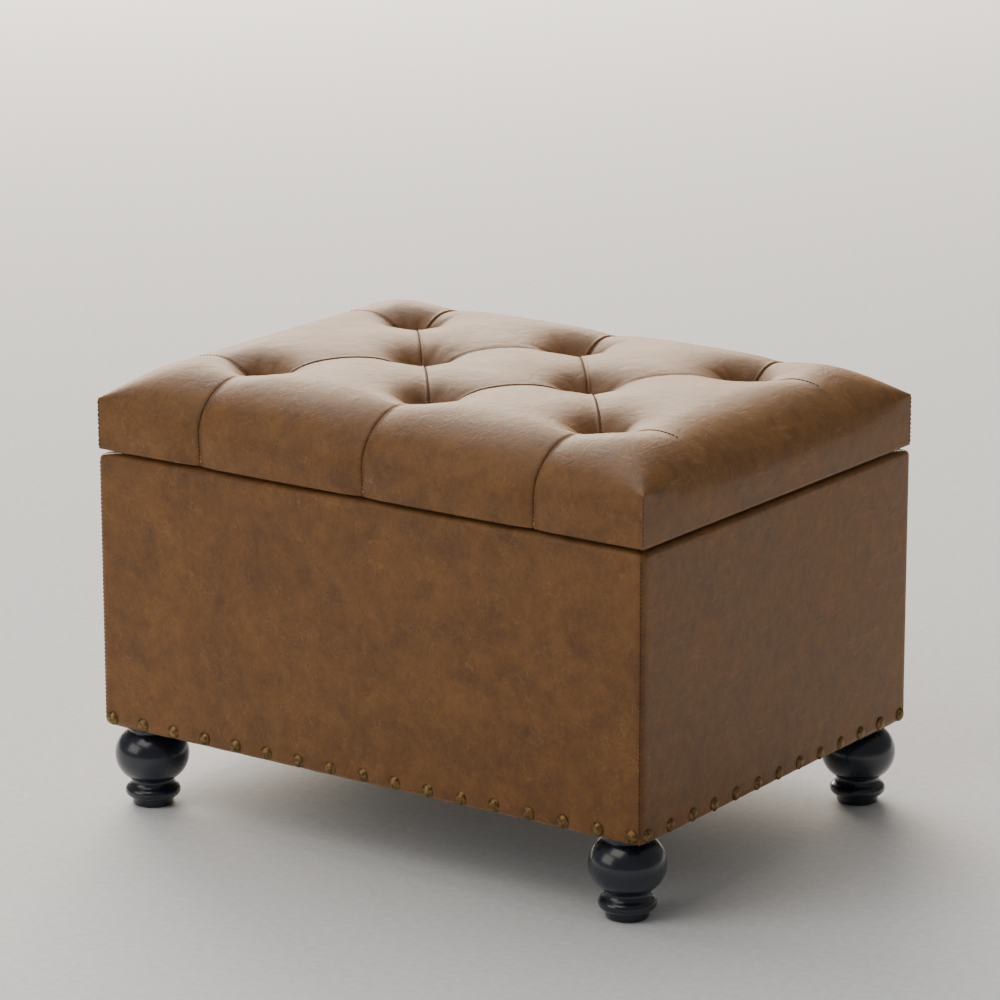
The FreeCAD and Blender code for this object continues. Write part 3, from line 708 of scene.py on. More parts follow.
@dataclass
class TuftedLid:
    """The padded leather lid: a sheet folded over the board, tufted and sewn, then inflated."""

    finishes: Finishes
    cell: float = 3.0 * MM
    cloth_cell: float = 6.0 * MM
    roll_reach: float = 74 * MM
    early_roll: float = 19 * MM
    extra_crown: float = 3.5 * MM
    edge_height: float = 49 * MM
    rim_drop: float = 1.8 * MM
    side_bulge: float = 1.2 * MM
    fold_below: float = 25 * MM
    fold_thickness: float = 2.2 * MM
    fold_sink: float = 0.2 * MM
    anchor_radius: float = 9 * MM
    tuft_depth: float = 34 * MM
    tuft_reach: float = 36 * MM
    tuft_power: float = 1.9
    pit_reach: float = 16 * MM
    pit_power: float = 1.6
    pit_share: float = 0.55
    seam_taper: float = 0.985
    side_seam_fade: tuple[float, float] = (38 * MM, 84 * MM)
    valley_depth: float = 3.8 * MM
    valley_reach: float = 15 * MM
    valley_power: float = 1.25
    edge_valley_widening: float = 1.25
    inner_valley_strength: float = 0.8
    groove_depth: float = 1.5 * MM
    groove_reach: float = 0.8 * MM
    lip_height: float = 0.8 * MM
    lip_place: float = 2.3
    cuts: tuple = (0.0, -1.1, 1.1, 2.4, 3.6)
    pleats_per_tuft: int = 7
    pleat_turn: float = 0.3
    pleat_lengths_mm: tuple[float, float] = (20, 38)
    pleat_depth: float = 2.0 * MM
    pleat_width: float = 1.6 * MM
    pleat_flare: float = 0.09
    pleat_middle: float = 0.62
    pleat_fade: float = 0.5
    tuft_hold: float = 7 * MM
    seam_hold: float = 3.5 * MM
    movement_cap: float = 5 * MM
    cloth_frames: int = 20
    stitch_offset: float = 0.6 * MM
    stitch_clearance: float = 9 * MM
    hem_clearance: float = 1.5 * MM
    corner_stitch_inset: float = 1.4 * MM
    seed: int = 7

    def __post_init__(self) -> None:
        """Take the lid's sizes from the frame and lay out its tufts and seams."""
        low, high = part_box("lid_cover")
        self.half = Vector((high[0], high[1]))
        self.bottom = low[2]
        self.edge_top = low[2] - self.rim_drop + self.edge_height
        self.crown = high[2] - self.edge_top + self.extra_crown
        roll_mean = math.sqrt((self.roll_reach ** 2 + self.crown ** 2) / 2)
        self.roll_length = math.pi / 2 * roll_mean
        self.flat = Vector((size - self.roll_reach + self.roll_length for size in self.half))
        self.sheet = self.flat + Vector((self.edge_height, self.edge_height))
        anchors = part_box("tuft_anchors")[1]
        self.pitch = Vector((anchors[0] - self.anchor_radius, anchors[1] - self.anchor_radius))
        self.tufts = self.lay_out_tufts()
        self.seams = self.lay_out_seams()
        self.pleats = self.lay_out_pleats()

    def lay_out_tufts(self) -> dict[str, Vector]:
        """Three tufts, two and three, front to rear.

        Returns:
            The tufts by name.
        """
        tufts = {}
        for row, row_name in ((-1, "front"), (0, "middle"), (1, "rear")):
            columns = (-0.5, 0.5) if row == 0 else (-1, 0, 1)
            for number, column in enumerate(columns):
                tufts[f"{row_name}{number}"] = Vector((column * self.pitch.x, row * self.pitch.y))
        return tufts

    def lay_out_seams(self) -> list[Seam]:
        """Eight diagonals between the tufts and ten seams from the outer tufts to the edges.

        Returns:
            The seams.
        """
        seams = []
        for middle, columns in (("middle0", (0, 1)), ("middle1", (1, 2))):
            for row in ("front", "rear"):
                seams += [Seam(self.tufts[f"{row}{number}"], self.tufts[middle], False) for number in columns]
        for row, side in (("front", -1), ("rear", 1)):
            for number in range(3):
                tuft = self.tufts[f"{row}{number}"]
                seams.append(Seam(tuft, Vector((tuft.x * self.seam_taper, side * self.sheet.y)), True))
            for number, end in ((0, -1), (2, 1)):
                tuft = self.tufts[f"{row}{number}"]
                edge = Vector((end * self.sheet.x, tuft.y))
                seams.append(Seam(tuft, edge, True, self.side_seam_fade))
        return seams

    def lay_out_pleats(self) -> list[tuple[Vector, float, float]]:
        """Short creases that fan out of each tuft.

        Returns:
            (tuft, angle, length) of each.
        """
        draw = random.Random(self.seed)
        step = self.pleats_per_tuft
        pleats = []
        for tuft in self.tufts.values():
            for number in range(step):
                angle = number * math.tau / step + draw.uniform(-self.pleat_turn, self.pleat_turn)
                pleats.append((tuft, angle, draw.uniform(*self.pleat_lengths_mm) * MM))
        return pleats

    # The sheet, folded

    def rolled(self, along: float, axis: int) -> tuple[float, float]:
        """Where a place on the sheet comes to along one axis, and how high its roll stands.

        Args:
            along: the place on the flat sheet.
            axis: 0 for X, 1 for Y.

        Returns:
            The coordinate and the roll's height, 0 at the edge and 1 on top.
        """
        from_edge = self.flat[axis] - abs(along)
        if from_edge <= 0:
            return math.copysign(self.half[axis], along), 0.0
        if from_edge >= self.roll_length:
            return along, 1.0
        angle = math.pi / 2 * from_edge / self.roll_length
        inward = self.roll_reach * (1 - math.cos(angle))
        return math.copysign(self.half[axis] - inward, along), math.sin(angle)

    def section(self, from_hem: float, early: float) -> Vector:
        """The section of one side, from its hem up and over onto the top.

        Args:
            from_hem: the way along the leather from its hem.
            early: how much sooner than at a corner the side starts to roll over.

        Returns:
            How far in and how high that place lies.
        """
        upright = self.edge_height - early
        if from_hem <= upright:
            return Vector((0.0, from_hem))
        share = min((from_hem - upright) / (self.roll_length + early), 1.0)
        angle = math.pi / 2 * share
        inward = self.roll_reach * (1 - math.cos(angle))
        return Vector((inward, upright + (self.crown + early) * math.sin(angle)))

    def eased(self, from_hem: float, share: float) -> Vector:
        """How the section between two corners differs from the one at a corner.

        Args:
            from_hem: the way along the leather from its hem.
            share: the place along the side, -1 at one corner and 1 at the other.

        Returns:
            How much further in and higher the place lies.
        """
        early = self.early_roll * (1 - min(abs(share), 1.0) ** 4)
        return self.section(from_hem, early) - self.section(from_hem, 0.0)

    def folded(self, spot: Vector) -> Vector:
        """Fold one point of the flat sheet over the lid.

        Args:
            spot: the point on the sheet.

        Returns:
            The point on the lid.
        """
        x, rise_x = self.rolled(spot.x, 0)
        y, rise_y = self.rolled(spot.y, 1)
        ease_x = self.eased(self.sheet.x - abs(spot.x), y / self.half.y)
        ease_y = self.eased(self.sheet.y - abs(spot.y), x / self.half.x)
        hang = max(abs(spot.x) - self.flat.x, abs(spot.y) - self.flat.y, 0.0)
        swell = self.side_bulge * math.sin(math.pi * min(hang / self.edge_height, 1.0)) ** 2
        if abs(spot.x) > self.flat.x:
            x += math.copysign(swell * (1 - (abs(y) / self.half.y) ** 6), x)
        elif hang > 0:
            y += math.copysign(swell * (1 - (abs(x) / self.half.x) ** 6), y)
        x -= math.copysign(ease_x.x, x)
        y -= math.copysign(ease_y.x, y)
        top = self.edge_top + self.crown * rise_x * rise_y
        return Vector((x, y, (self.edge_top - hang if hang > 0 else top) + ease_x.y + ease_y.y))

    # How deep the tufts, seams and creases pull the leather in

    def pull(self, spot: Vector) -> float:
        """The depth of the tufts and the wide valleys along the seams.

        Args:
            spot: the point on the flat sheet.

        Returns:
            The depth.
        """
        nearest = min((spot - tuft).length for tuft in self.tufts.values())
        pit = math.exp(-(nearest / self.pit_reach) ** self.pit_power)
        slope = math.exp(-(nearest / self.tuft_reach) ** self.tuft_power)
        well = self.pit_share * pit + (1 - self.pit_share) * slope
        valley = 0.0
        for seam in self.seams:
            gap = seam.gap(spot)
            if gap > 4 * self.valley_reach:
                continue
            reach = self.valley_reach
            strength = self.inner_valley_strength
            if seam.to_edge:
                reach *= self.edge_valley_widening
                strength = seam.strength(seam.measure(spot)[0])
            valley = max(valley, strength * math.exp(-(gap / reach) ** self.valley_power))
        return self.tuft_depth * well + self.valley_depth * valley * (1 - well)

    def crease(self, spot: Vector) -> float:
        """The depth of the short creases round the tufts.

        Args:
            spot: the point on the flat sheet.

        Returns:
            The depth.
        """
        depth = 0.0
        for tuft, angle, length in self.pleats:
            offset = spot - tuft
            far = offset.length
            ray = Vector((math.cos(angle), math.sin(angle)))
            if far < 4 * MM or far > 1.6 * length or offset.dot(ray) <= 0:
                continue
            across = ray.x * offset.y - ray.y * offset.x
            width = self.pleat_width + self.pleat_flare * far
            fade = math.exp(-((far - self.pleat_middle * length) / (self.pleat_fade * length)) ** 2)
            depth += self.pleat_depth * fade * math.exp(-(across / width) ** 2)
        return depth

    def sewing(self, spot: Vector) -> float:
        """The depth of the sewn groove, less its raised lip.

        Args:
            spot: the point on the flat sheet.

        Returns:
            The depth.
        """
        depth = 0.0
        for seam in self.seams:
            along, across = seam.measure(spot)
            if abs(across) > 7 * self.groove_reach or not -2 * MM < along < seam.length + MM:
                continue
            from_lip = across - self.lip_place * self.groove_reach
            groove = self.groove_depth * math.exp(-(across / self.groove_reach) ** 2)
            lip = self.lip_height * math.exp(-(from_lip / self.groove_reach) ** 2)
            depth += (groove - lip) * seam.strength(along)
        return depth

    # Meshes

    def flat_sheet(self, cell: float) -> bmesh.types.BMesh:
        """The flat sheet, its corners cut out.

        Args:
            cell: the size of its cells.

        Returns:
            The sheet, its sheet coordinates still its own.
        """
        mesh = bmesh.new()
        steps = [2 * round(size / cell) for size in self.flat]
        hang = round(self.edge_height / cell)
        bmesh.ops.create_grid(mesh, x_segments=steps[0] + 2 * hang, y_segments=steps[1] + 2 * hang, size=1.0)
        for vert in mesh.verts:
            for axis in (0, 1):
                place = vert.co[axis] * (steps[axis] / 2 + hang)
                inner = steps[axis] / 2
                if abs(place) <= inner:
                    vert.co[axis] = place / inner * self.flat[axis]
                else:
                    beyond = (abs(place) - inner) / hang * self.edge_height
                    vert.co[axis] = math.copysign(self.flat[axis] + beyond, place)
        corners = [face for face in mesh.faces if self.is_cut_out(face.calc_center_median())]
        bmesh.ops.delete(mesh, geom=corners, context="FACES")
        return mesh

    def is_cut_out(self, spot: Vector) -> bool:
        """True in the squares cut out of the sheet's corners."""
        return abs(spot.x) > self.flat.x and abs(spot.y) > self.flat.y

    def fold_up(self, mesh: bmesh.types.BMesh, depth: Callable[[Vector], float]) -> tuple:
        """Fold a flat sheet over the lid and pull it in along its normals.

        Args:
            mesh: the flat sheet.
            depth: a function that gives the depth at a point of the flat sheet.

        Returns:
            The layers that keep each vertex's place on the flat sheet.
        """
        layers = (mesh.verts.layers.float.new("sheet_u"), mesh.verts.layers.float.new("sheet_v"))
        for vert in mesh.verts:
            vert[layers[0]], vert[layers[1]] = vert.co.x, vert.co.y
            vert.co = self.folded(vert.co.xy)
        bmesh.ops.remove_doubles(mesh, verts=mesh.verts, dist=5 * WELD)
        mesh.normal_update()
        pulls = [vert.normal * depth(self.sheet_spot(vert, layers)) for vert in mesh.verts]
        for vert, move in zip(mesh.verts, pulls):
            vert.co -= move
        return layers

    @staticmethod
    def sheet_spot(vert: bmesh.types.BMVert, layers: tuple) -> Vector:
        """A vertex's place on the flat sheet."""
        return Vector((vert[layers[0]], vert[layers[1]]))

    def relaxed(self) -> "SheetMoves":
        """Inflate a coarse copy of the lid as cloth.

        Returns:
            How far each point of the flat sheet moved.
        """
        moves = SheetMoves(self.sheet, self.cloth_cell)
        mesh = self.flat_sheet(self.cloth_cell)
        layers = self.fold_up(mesh, lambda spot: self.pull(spot) + self.crease(spot))
        spots = [self.sheet_spot(vert, layers) for vert in mesh.verts]
        data = bpy.data.meshes.new("lid_cloth")
        mesh.to_mesh(data)
        mesh.free()
        cloth = bpy.data.objects.new("lid_cloth", data)
        bpy.context.scene.collection.objects.link(cloth)
        pins = cloth.vertex_groups.new(name="held")
        for index, spot in enumerate(spots):
            weight = self.hold(spot)
            if weight > 0:
                pins.add([index], weight, "REPLACE")
        before = np.array([vert.co[:] for vert in data.vertices])
        self.simulate(cloth)
        shape = cloth.evaluated_get(bpy.context.evaluated_depsgraph_get()).data
        after = np.array([vert.co[:] for vert in shape.vertices])
        moves.fill(spots, after - before, self.movement_cap)
        bpy.data.objects.remove(cloth)
        return moves

    def hold(self, spot: Vector) -> float:
        """How firmly the leather is held at a point, 0 to 1.

        Args:
            spot: the point on the flat sheet.

        Returns:
            The hold.
        """
        nearest = min((spot - tuft).length for tuft in self.tufts.values())
        hang = max(abs(spot.x) - self.flat.x, abs(spot.y) - self.flat.y)
        corner = max(self.flat.x - abs(spot.x), self.flat.y - abs(spot.y))
        if nearest < self.tuft_hold or hang > self.edge_height - self.tuft_hold or corner < MM:
            return 1.0
        gap = min(seam.gap(spot) for seam in self.seams)
        on_side = 0.3 + 0.7 * hang / self.edge_height if hang > 0 else 0.0
        return max(on_side, 0.5 if gap < self.seam_hold else 0.0)

    def simulate(self, cloth: bpy.types.Object) -> None:
        """Run the cloth simulation on the coarse copy.

        Args:
            cloth: the coarse copy.
        """
        modifier = cloth.modifiers.new("Cloth", "CLOTH")
        for name, setting in LID_CLOTH.items():
            setattr(modifier.settings, name, setting)
        modifier.settings.effector_weights.gravity = 0
        modifier.collision_settings.use_collision = False
        modifier.collision_settings.use_self_collision = False
        modifier.point_cache.frame_start = 1
        modifier.point_cache.frame_end = self.cloth_frames
        for frame_number in range(1, self.cloth_frames + 1):
            bpy.context.scene.frame_set(frame_number)

    def cut_seams(self, mesh: bmesh.types.BMesh) -> None:
        """Cut the flat sheet along each seam, so that the sewn groove has edges of its own.

        Args:
            mesh: the flat sheet.
        """
        reach = 2.5 * self.cell
        for seam in self.seams:
            near = [face for face in mesh.faces if seam.gap(face.calc_center_median().xy) < reach]
            for offset in self.cuts:
                point = seam.start + seam.across * (offset * self.groove_reach)
                geometry = unique(item for face in near for item in (face, *face.edges, *face.verts))
                cut = bmesh.ops.bisect_plane(mesh, geom=geometry, dist=WELD, plane_co=(*point, 0.0),
                                             plane_no=(*seam.across, 0.0))
                near = [item for item in cut["geom"] if isinstance(item, bmesh.types.BMFace)]

    def close_below(self, mesh: bmesh.types.BMesh) -> None:
        """Fold the leather's lower edge under the board and close the form above the lining.

        Args:
            mesh: the folded lid.
        """
        rim = [edge for edge in mesh.edges if edge.is_boundary]
        steps = ((1.0 * MM, -self.rim_drop - self.fold_sink), (5.0 * MM, -self.fold_sink),
                 (self.fold_below, 0.0), (self.fold_below, self.fold_thickness))
        for inward, above in steps:
            result = bmesh.ops.extrude_edge_only(mesh, edges=rim)
            verts = [item for item in result["geom"] if isinstance(item, bmesh.types.BMVert)]
            rim = [item for item in result["geom"] if isinstance(item, bmesh.types.BMEdge)]
            for vert in verts:
                x, y = (math.copysign(min(abs(vert.co[axis]), self.half[axis] - inward), vert.co[axis])
                        for axis in (0, 1))
                vert.co = Vector((x, y, self.bottom + above))
        inner = unique(vert for edge in rim for vert in edge.verts)
        bmesh.ops.remove_doubles(mesh, verts=inner, dist=2 * WELD)
        rim = [edge for edge in mesh.edges if edge.is_boundary]
        bmesh.ops.holes_fill(mesh, edges=rim, sides=0)

    def surface_depth(self, spot: Vector) -> float:
        """The whole depth at a point of the flat sheet."""
        return self.pull(spot) + self.crease(spot) + self.sewing(spot)

    def build(self) -> bpy.types.Object:
        """Build the lid's leather.

        Returns:
            The padded piece.
        """
        moves = self.relaxed()
        mesh = self.flat_sheet(self.cell)
        self.cut_seams(mesh)
        layers = self.fold_up(mesh, self.surface_depth)
        for vert in mesh.verts:
            vert.co += moves.at(vert[layers[0]], vert[layers[1]])
        self.map_surface(mesh, layers)
        self.close_below(mesh)
        bmesh.ops.recalc_face_normals(mesh, faces=mesh.faces)
        piece = add_piece("lid_leather", mesh, self.finishes.leather, "lid")
        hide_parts("lid_cover", "lid_foam")
        return piece

    def map_surface(self, mesh: bmesh.types.BMesh, layers: tuple) -> None:
        """Keep the way from the flat sheet to the finished leather, for the stitches.

        Args:
            mesh: the finished leather, before it is closed below.
            layers: the layers that keep each vertex's place on the flat sheet.
        """
        mesh.verts.index_update()
        self.flat_points = [Vector((vert[layers[0]], vert[layers[1]], 0.0)) for vert in mesh.verts]
        self.points = [vert.co.copy() for vert in mesh.verts]
        self.faces = [[vert.index for vert in face.verts] for face in mesh.faces]
        self.flat_tree = BVHTree.FromPolygons(self.flat_points, self.faces)

    def surface_point(self, spot: Vector) -> tuple[Vector, Vector]:
        """A point of the finished leather.

        Args:
            spot: the point on the flat sheet.

        Returns:
            The point and the normal there.
        """
        flat, _, number, _ = self.flat_tree.find_nearest(Vector((spot.x, spot.y, 0.0)))
        corners = self.faces[number]
        weights = poly_3d_calc([self.flat_points[index] for index in corners], flat)
        place = Vector()
        for index, weight in zip(corners, weights):
            place += self.points[index] * weight
        return place, normal([self.points[index] for index in corners])

    def stitch(self) -> bpy.types.Object:
        """Sew the seams and the four corners.

        Returns:
            The stitches.
        """
        mesh = bmesh.new()
        for seam in self.seams:
            before_end = self.hem_clearance if seam.to_edge else self.stitch_clearance
            stop = min(seam.length - before_end, seam.fade[1])
            origin = seam.start + seam.along * self.stitch_clearance - seam.across * self.stitch_offset
            self.sew(mesh, origin, seam.along, stop - self.stitch_clearance)
        for side_x in (-1, 1):
            for side_y in (-1, 1):
                origin = Vector((side_x * (self.flat.x - self.corner_stitch_inset),
                                 side_y * (self.flat.y + self.hem_clearance)))
                self.sew(mesh, origin, Vector((0, side_y)), self.edge_height - 2 * self.hem_clearance)
        return add_piece("lid_stitches", mesh, self.finishes.thread, "lid")

    def sew(self, mesh: bmesh.types.BMesh, origin: Vector, along: Vector, length: float) -> None:
        """Sew one row of stitches through the finished leather.

        Args:
            mesh: the stitches so far.
            origin: where the row starts on the flat sheet.
            along: its direction there.
            length: how long the row may be.
        """
        for number in range(int(length / STITCH_PITCH)):
            spots = (origin + along * ((number + share) * STITCH_PITCH) for share in STITCH_ENDS)
            (start, outward), (stop, _) = (self.surface_point(spot) for spot in spots)
            add_stitch(mesh, start, stop, outward)


class SheetMoves:
    """How far each point of the lid's flat sheet moved when it was inflated."""

    rounds: int = 3
    smooth_share: float = 0.75

    def __init__(self, half: Vector, cell: float) -> None:
        """Start with no movement.

        Args:
            half: half the sheet's size.
            cell: the size of the coarse cells.
        """
        self.half = half
        self.cell = cell
        shape = [2 * math.ceil(size / cell) + 3 for size in half]
        self.grid = np.zeros((*shape, 3))
        self.count = np.zeros((*shape, 1))

    def index(self, u: float, v: float) -> tuple[float, float]:
        """Grid coordinates of a point of the sheet."""
        return (u + self.half.x) / self.cell + 1, (v + self.half.y) / self.cell + 1

    def fill(self, spots: list[Vector], moves: np.ndarray, cap: float) -> None:
        """Take the moves of the coarse copy.

        Args:
            spots: its points on the flat sheet.
            moves: how far each moved.
            cap: the most that a point may move.
        """
        sizes = np.linalg.norm(moves, axis=1, keepdims=True)
        moves = moves * np.minimum(1.0, cap / np.maximum(sizes, 1e-9))
        for spot, move in zip(spots, moves):
            column, row = (round(number) for number in self.index(spot.x, spot.y))
            self.grid[column, row] += move
            self.count[column, row] += 1
        self.spread()
        self.soften()

    def soften(self) -> None:
        """Level out most of the short ripples."""
        wide = self.grid
        for _ in range(self.rounds):
            for axis in (0, 1):
                wide = (np.roll(wide, 1, axis) + 2 * wide + np.roll(wide, -1, axis)) / 4
        self.grid = (1 - self.smooth_share) * self.grid + self.smooth_share * wide

    def spread(self) -> None:
        """Average what fell into each cell, and fill empty cells from their neighbours."""
        known = self.count > 0
        self.grid = np.where(known, self.grid / np.maximum(self.count, 1), 0.0)
        weight = known.astype(float)
        for _ in range(self.rounds):
            total = np.zeros_like(self.grid)
            near = np.zeros_like(weight)
            for shift, axis in ((1, 0), (-1, 0), (1, 1), (-1, 1)):
                total += np.roll(self.grid * weight, shift, axis)
                near += np.roll(weight, shift, axis)
            empty = (weight == 0) & (near > 0)
            self.grid = np.where(empty, total / np.maximum(near, 1), self.grid)
            weight = np.where(empty, 1.0, weight)

    def at(self, u: float, v: float) -> Vector:
        """The move at a point of the sheet, between the grid's points.

        Args:
            u: the point's first sheet coordinate.
            v: its second.

        Returns:
            The move.
        """
        column, row = self.index(u, v)
        left = min(max(int(column), 0), self.grid.shape[0] - 2)
        below = min(max(int(row), 0), self.grid.shape[1] - 2)
        right_share, upper_share = column - left, row - below
        near, far = self.grid[left, below:below + 2], self.grid[left + 1, below:below + 2]
        lower, upper = near * (1 - right_share) + far * right_share
        return Vector(lower * (1 - upper_share) + upper * upper_share)


# ---------------------------------------------------------------- box


@dataclass
class LeatherBox:
    """The four leather panels of the box, sewn at the corners and nailed along the bottom."""

    finishes: Finishes
    cell: float = 6 * MM
    corner_radius: float = 4 * MM
    top_radius: float = 5.5 * MM
    bottom_radius: float = 8 * MM
    padding: float = 0.7 * MM
    fold_inside: float = 20 * MM
    fold_below: float = 22 * MM
    rim_width: float = 21 * MM
    rim_rise: float = 0.6 * MM
    leather: float = 1.5 * MM
    skin: float = 1.2 * MM
    corner_crowding: float = 0.3
    droop_depth: float = 1.2 * MM
    droop_reach: float = 9 * MM
    swell: float = 0.5 * MM
    ripple: float = 0.35 * MM
    nail_dent: float = 0.9 * MM
    nail_dent_reach: float = 8 * MM
    scallop: float = 0.7 * MM
    scallop_height: float = 14 * MM
    scallop_reach: float = 18 * MM
    seam_lean: float = 0.35

    def __post_init__(self) -> None:
        """Take the box's sizes from the frame."""
        low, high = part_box("front_panel")
        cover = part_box("lid_cover")[1]
        self.half = Vector((cover[0] + self.padding, cover[1] + self.padding))
        self.bottom = low[2] - self.leather
        self.top = high[2] + self.leather + self.rim_rise

    def profile(self) -> Outline:
        """The panel's section, from its inner fold over the rim and down to the fold below.

        Returns:
            (inset, height) points.
        """
        straight_top = self.top - self.top_radius
        straight_bottom = self.bottom + self.bottom_radius
        points = [(self.rim_width, self.top - self.fold_inside - self.leather)]
        points += self.arc((self.rim_width - self.leather, self.top - self.leather), self.leather, 0, 3)
        points += self.arc((self.top_radius, straight_top), self.top_radius, 90, 6)
        steps = round((straight_top - straight_bottom) / self.cell)
        points += [(0.0, straight_top + (straight_bottom - straight_top) * step / steps)
                   for step in range(1, steps)]
        points += self.arc((self.bottom_radius, straight_bottom), self.bottom_radius, 180, 7)
        points.append((self.fold_below, self.bottom))
        return points

    @staticmethod
    def arc(centre: tuple[float, float], radius: float, start: float, steps: int) -> Outline:
        """Points of a quarter turn in the section, 0 degrees pointing into the box and 90 up.

        Args:
            centre: its inset and height.
            radius: the radius.
            start: the first angle, in degrees.
            steps: the number of pieces.

        Returns:
            (inset, height) points.
        """
        angles = [math.radians(start + 90 * step / steps) for step in range(steps + 1)]
        return [(centre[0] + radius * math.cos(angle), centre[1] + radius * math.sin(angle))
                for angle in angles]

    def rounded(self, place: Vector, half: Vector, inset: float) -> Vector:
        """Move a point of a sharp rectangle onto one with rounded corners.

        Args:
            place: the point.
            half: half the box's size, with the panel's side in front.
            inset: how far the rectangle lies inside the box's outline.

        Returns:
            The point.
        """
        radius = max(self.corner_radius - inset, 0.3 * MM)
        inner = Vector((size - inset - radius for size in half))
        core = Vector((max(-inner[axis], min(inner[axis], place[axis])) for axis in (0, 1)))
        offset = place - core
        if offset.length < 1e-9:
            return place
        return core + offset.normalized() * radius

    def build_panel(self, side: BoxSide) -> bpy.types.Object:
        """Build one leather panel.

        Args:
            side: the side that it covers.

        Returns:
            The piece.
        """
        half = Vector(self.half if side.is_long else self.half.yx)
        section = self.profile()
        rows = len(section) - 1
        mesh = bmesh.new()
        bmesh.ops.create_grid(mesh, x_segments=2 * round(half.x / self.cell), y_segments=rows, size=1.0)
        row = NailRow(self.finishes, side)
        nails, level = row.places(), row.level()
        for vert in mesh.verts:
            inset, height = section[round((vert.co.y + 1) / 2 * rows)]
            share = (math.sin(vert.co.x * math.pi / 2) * self.corner_crowding
                     + vert.co.x * (1 - self.corner_crowding))
            flat = Vector((share * (half.x - inset), -(half.y - inset)))
            corner = half.x - inset - abs(flat.x)
            place = self.rounded(flat, half, inset)
            dent = self.dent(flat.x, height, nails, level) if inset < self.bottom_radius else 0.0
            puff = self.bulge(flat.x / half.x, height) if inset < MM and corner > 0 else 0.0
            droop = self.droop(corner) if height > self.top - self.fold_inside else 0.0
            vert.co = Vector((place.x, place.y + dent - puff, height - droop))
        mesh.transform(side.turn)
        bmesh.ops.recalc_face_normals(mesh, faces=mesh.faces)
        self.face_outwards(mesh, side)
        piece = add_piece(f"box_leather_{side.label}", mesh, self.finishes.leather, "base")
        skin = piece.modifiers.new("Solidify", "SOLIDIFY")
        skin.thickness = self.skin
        skin.offset = -1.0
        skin.use_even_offset = True
        hidden = ["box_batting"] if side is BoxSide.FRONT else []
        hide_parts(f"cover_{side.label}", *hidden)
        return piece

    def face_outwards(self, mesh: bmesh.types.BMesh, side: BoxSide) -> None:
        """Turn the faces so that the outside of the panel faces out.

        Args:
            mesh: the panel.
            side: its side.
        """
        outward = side.turn @ Vector((0, -1, 0))
        total = sum((face.normal.dot(outward) * face.calc_area() for face in mesh.faces), 0.0)
        if total < 0:
            bmesh.ops.reverse_faces(mesh, faces=mesh.faces)

    def dent(self, along: float, height: float, nails: list[float], level: float) -> float:
        """How far the nails pull the leather in.

        Args:
            along: the place along the side.
            height: the height.
            nails: the nails' places.
            level: the nails' height.

        Returns:
            The depth.
        """
        nearest = min(abs(along - nail) for nail in nails)
        far = math.hypot(nearest, height - level)
        pucker = self.nail_dent * math.exp(-(far / self.nail_dent_reach) ** 2)
        wave = self.scallop * math.exp(-((height - level) / self.scallop_height) ** 2)
        return pucker - wave * min(nearest / self.scallop_reach, 1.0)

    def droop(self, from_corner: float) -> float:
        """How far the leather is pulled down at a top corner.

        Args:
            from_corner: the distance from the corner along the side.

        Returns:
            The drop.
        """
        return self.droop_depth * math.exp(-(max(from_corner, 0.0) / self.droop_reach) ** 2)

    def bulge(self, share: float, height: float) -> float:
        """The soft swell of the padded side.

        Args:
            share: the place along the side, -1 to 1.
            height: the height.

        Returns:
            The swell.
        """
        wave = math.sin(share * 7.3 + height * 21) * math.sin(height * 33 + share * 3.1)
        return self.swell * (1 - share ** 4) + self.ripple * wave * (1 - share ** 8)

    def stitch_corners(self) -> bpy.types.Object:
        """Sew the four upright corners.

        Returns:
            The stitches.
        """
        mesh = bmesh.new()
        low = self.bottom + self.bottom_radius
        count = int((self.top - self.top_radius - low) / STITCH_PITCH)
        for side_x in (-1, 1):
            for side_y in (-1, 1):
                outward = Vector((side_x * self.seam_lean, side_y, 0.0)).normalized()
                centre = Vector((side_x * (self.half.x - self.corner_radius),
                                 side_y * (self.half.y - self.corner_radius), 0.0))
                face = centre + outward * self.corner_radius
                for number in range(count):
                    start, stop = (face + Vector((0.0, 0.0, low + (number + share) * STITCH_PITCH))
                                   for share in STITCH_ENDS)
                    add_stitch(mesh, start, stop, outward)
        return add_piece("box_stitches", mesh, self.finishes.thread, "base")

    def build(self) -> None:
        """Build the four panels and the stitches at the corners."""
        for side in BoxSide:
            self.build_panel(side)
        self.stitch_corners()


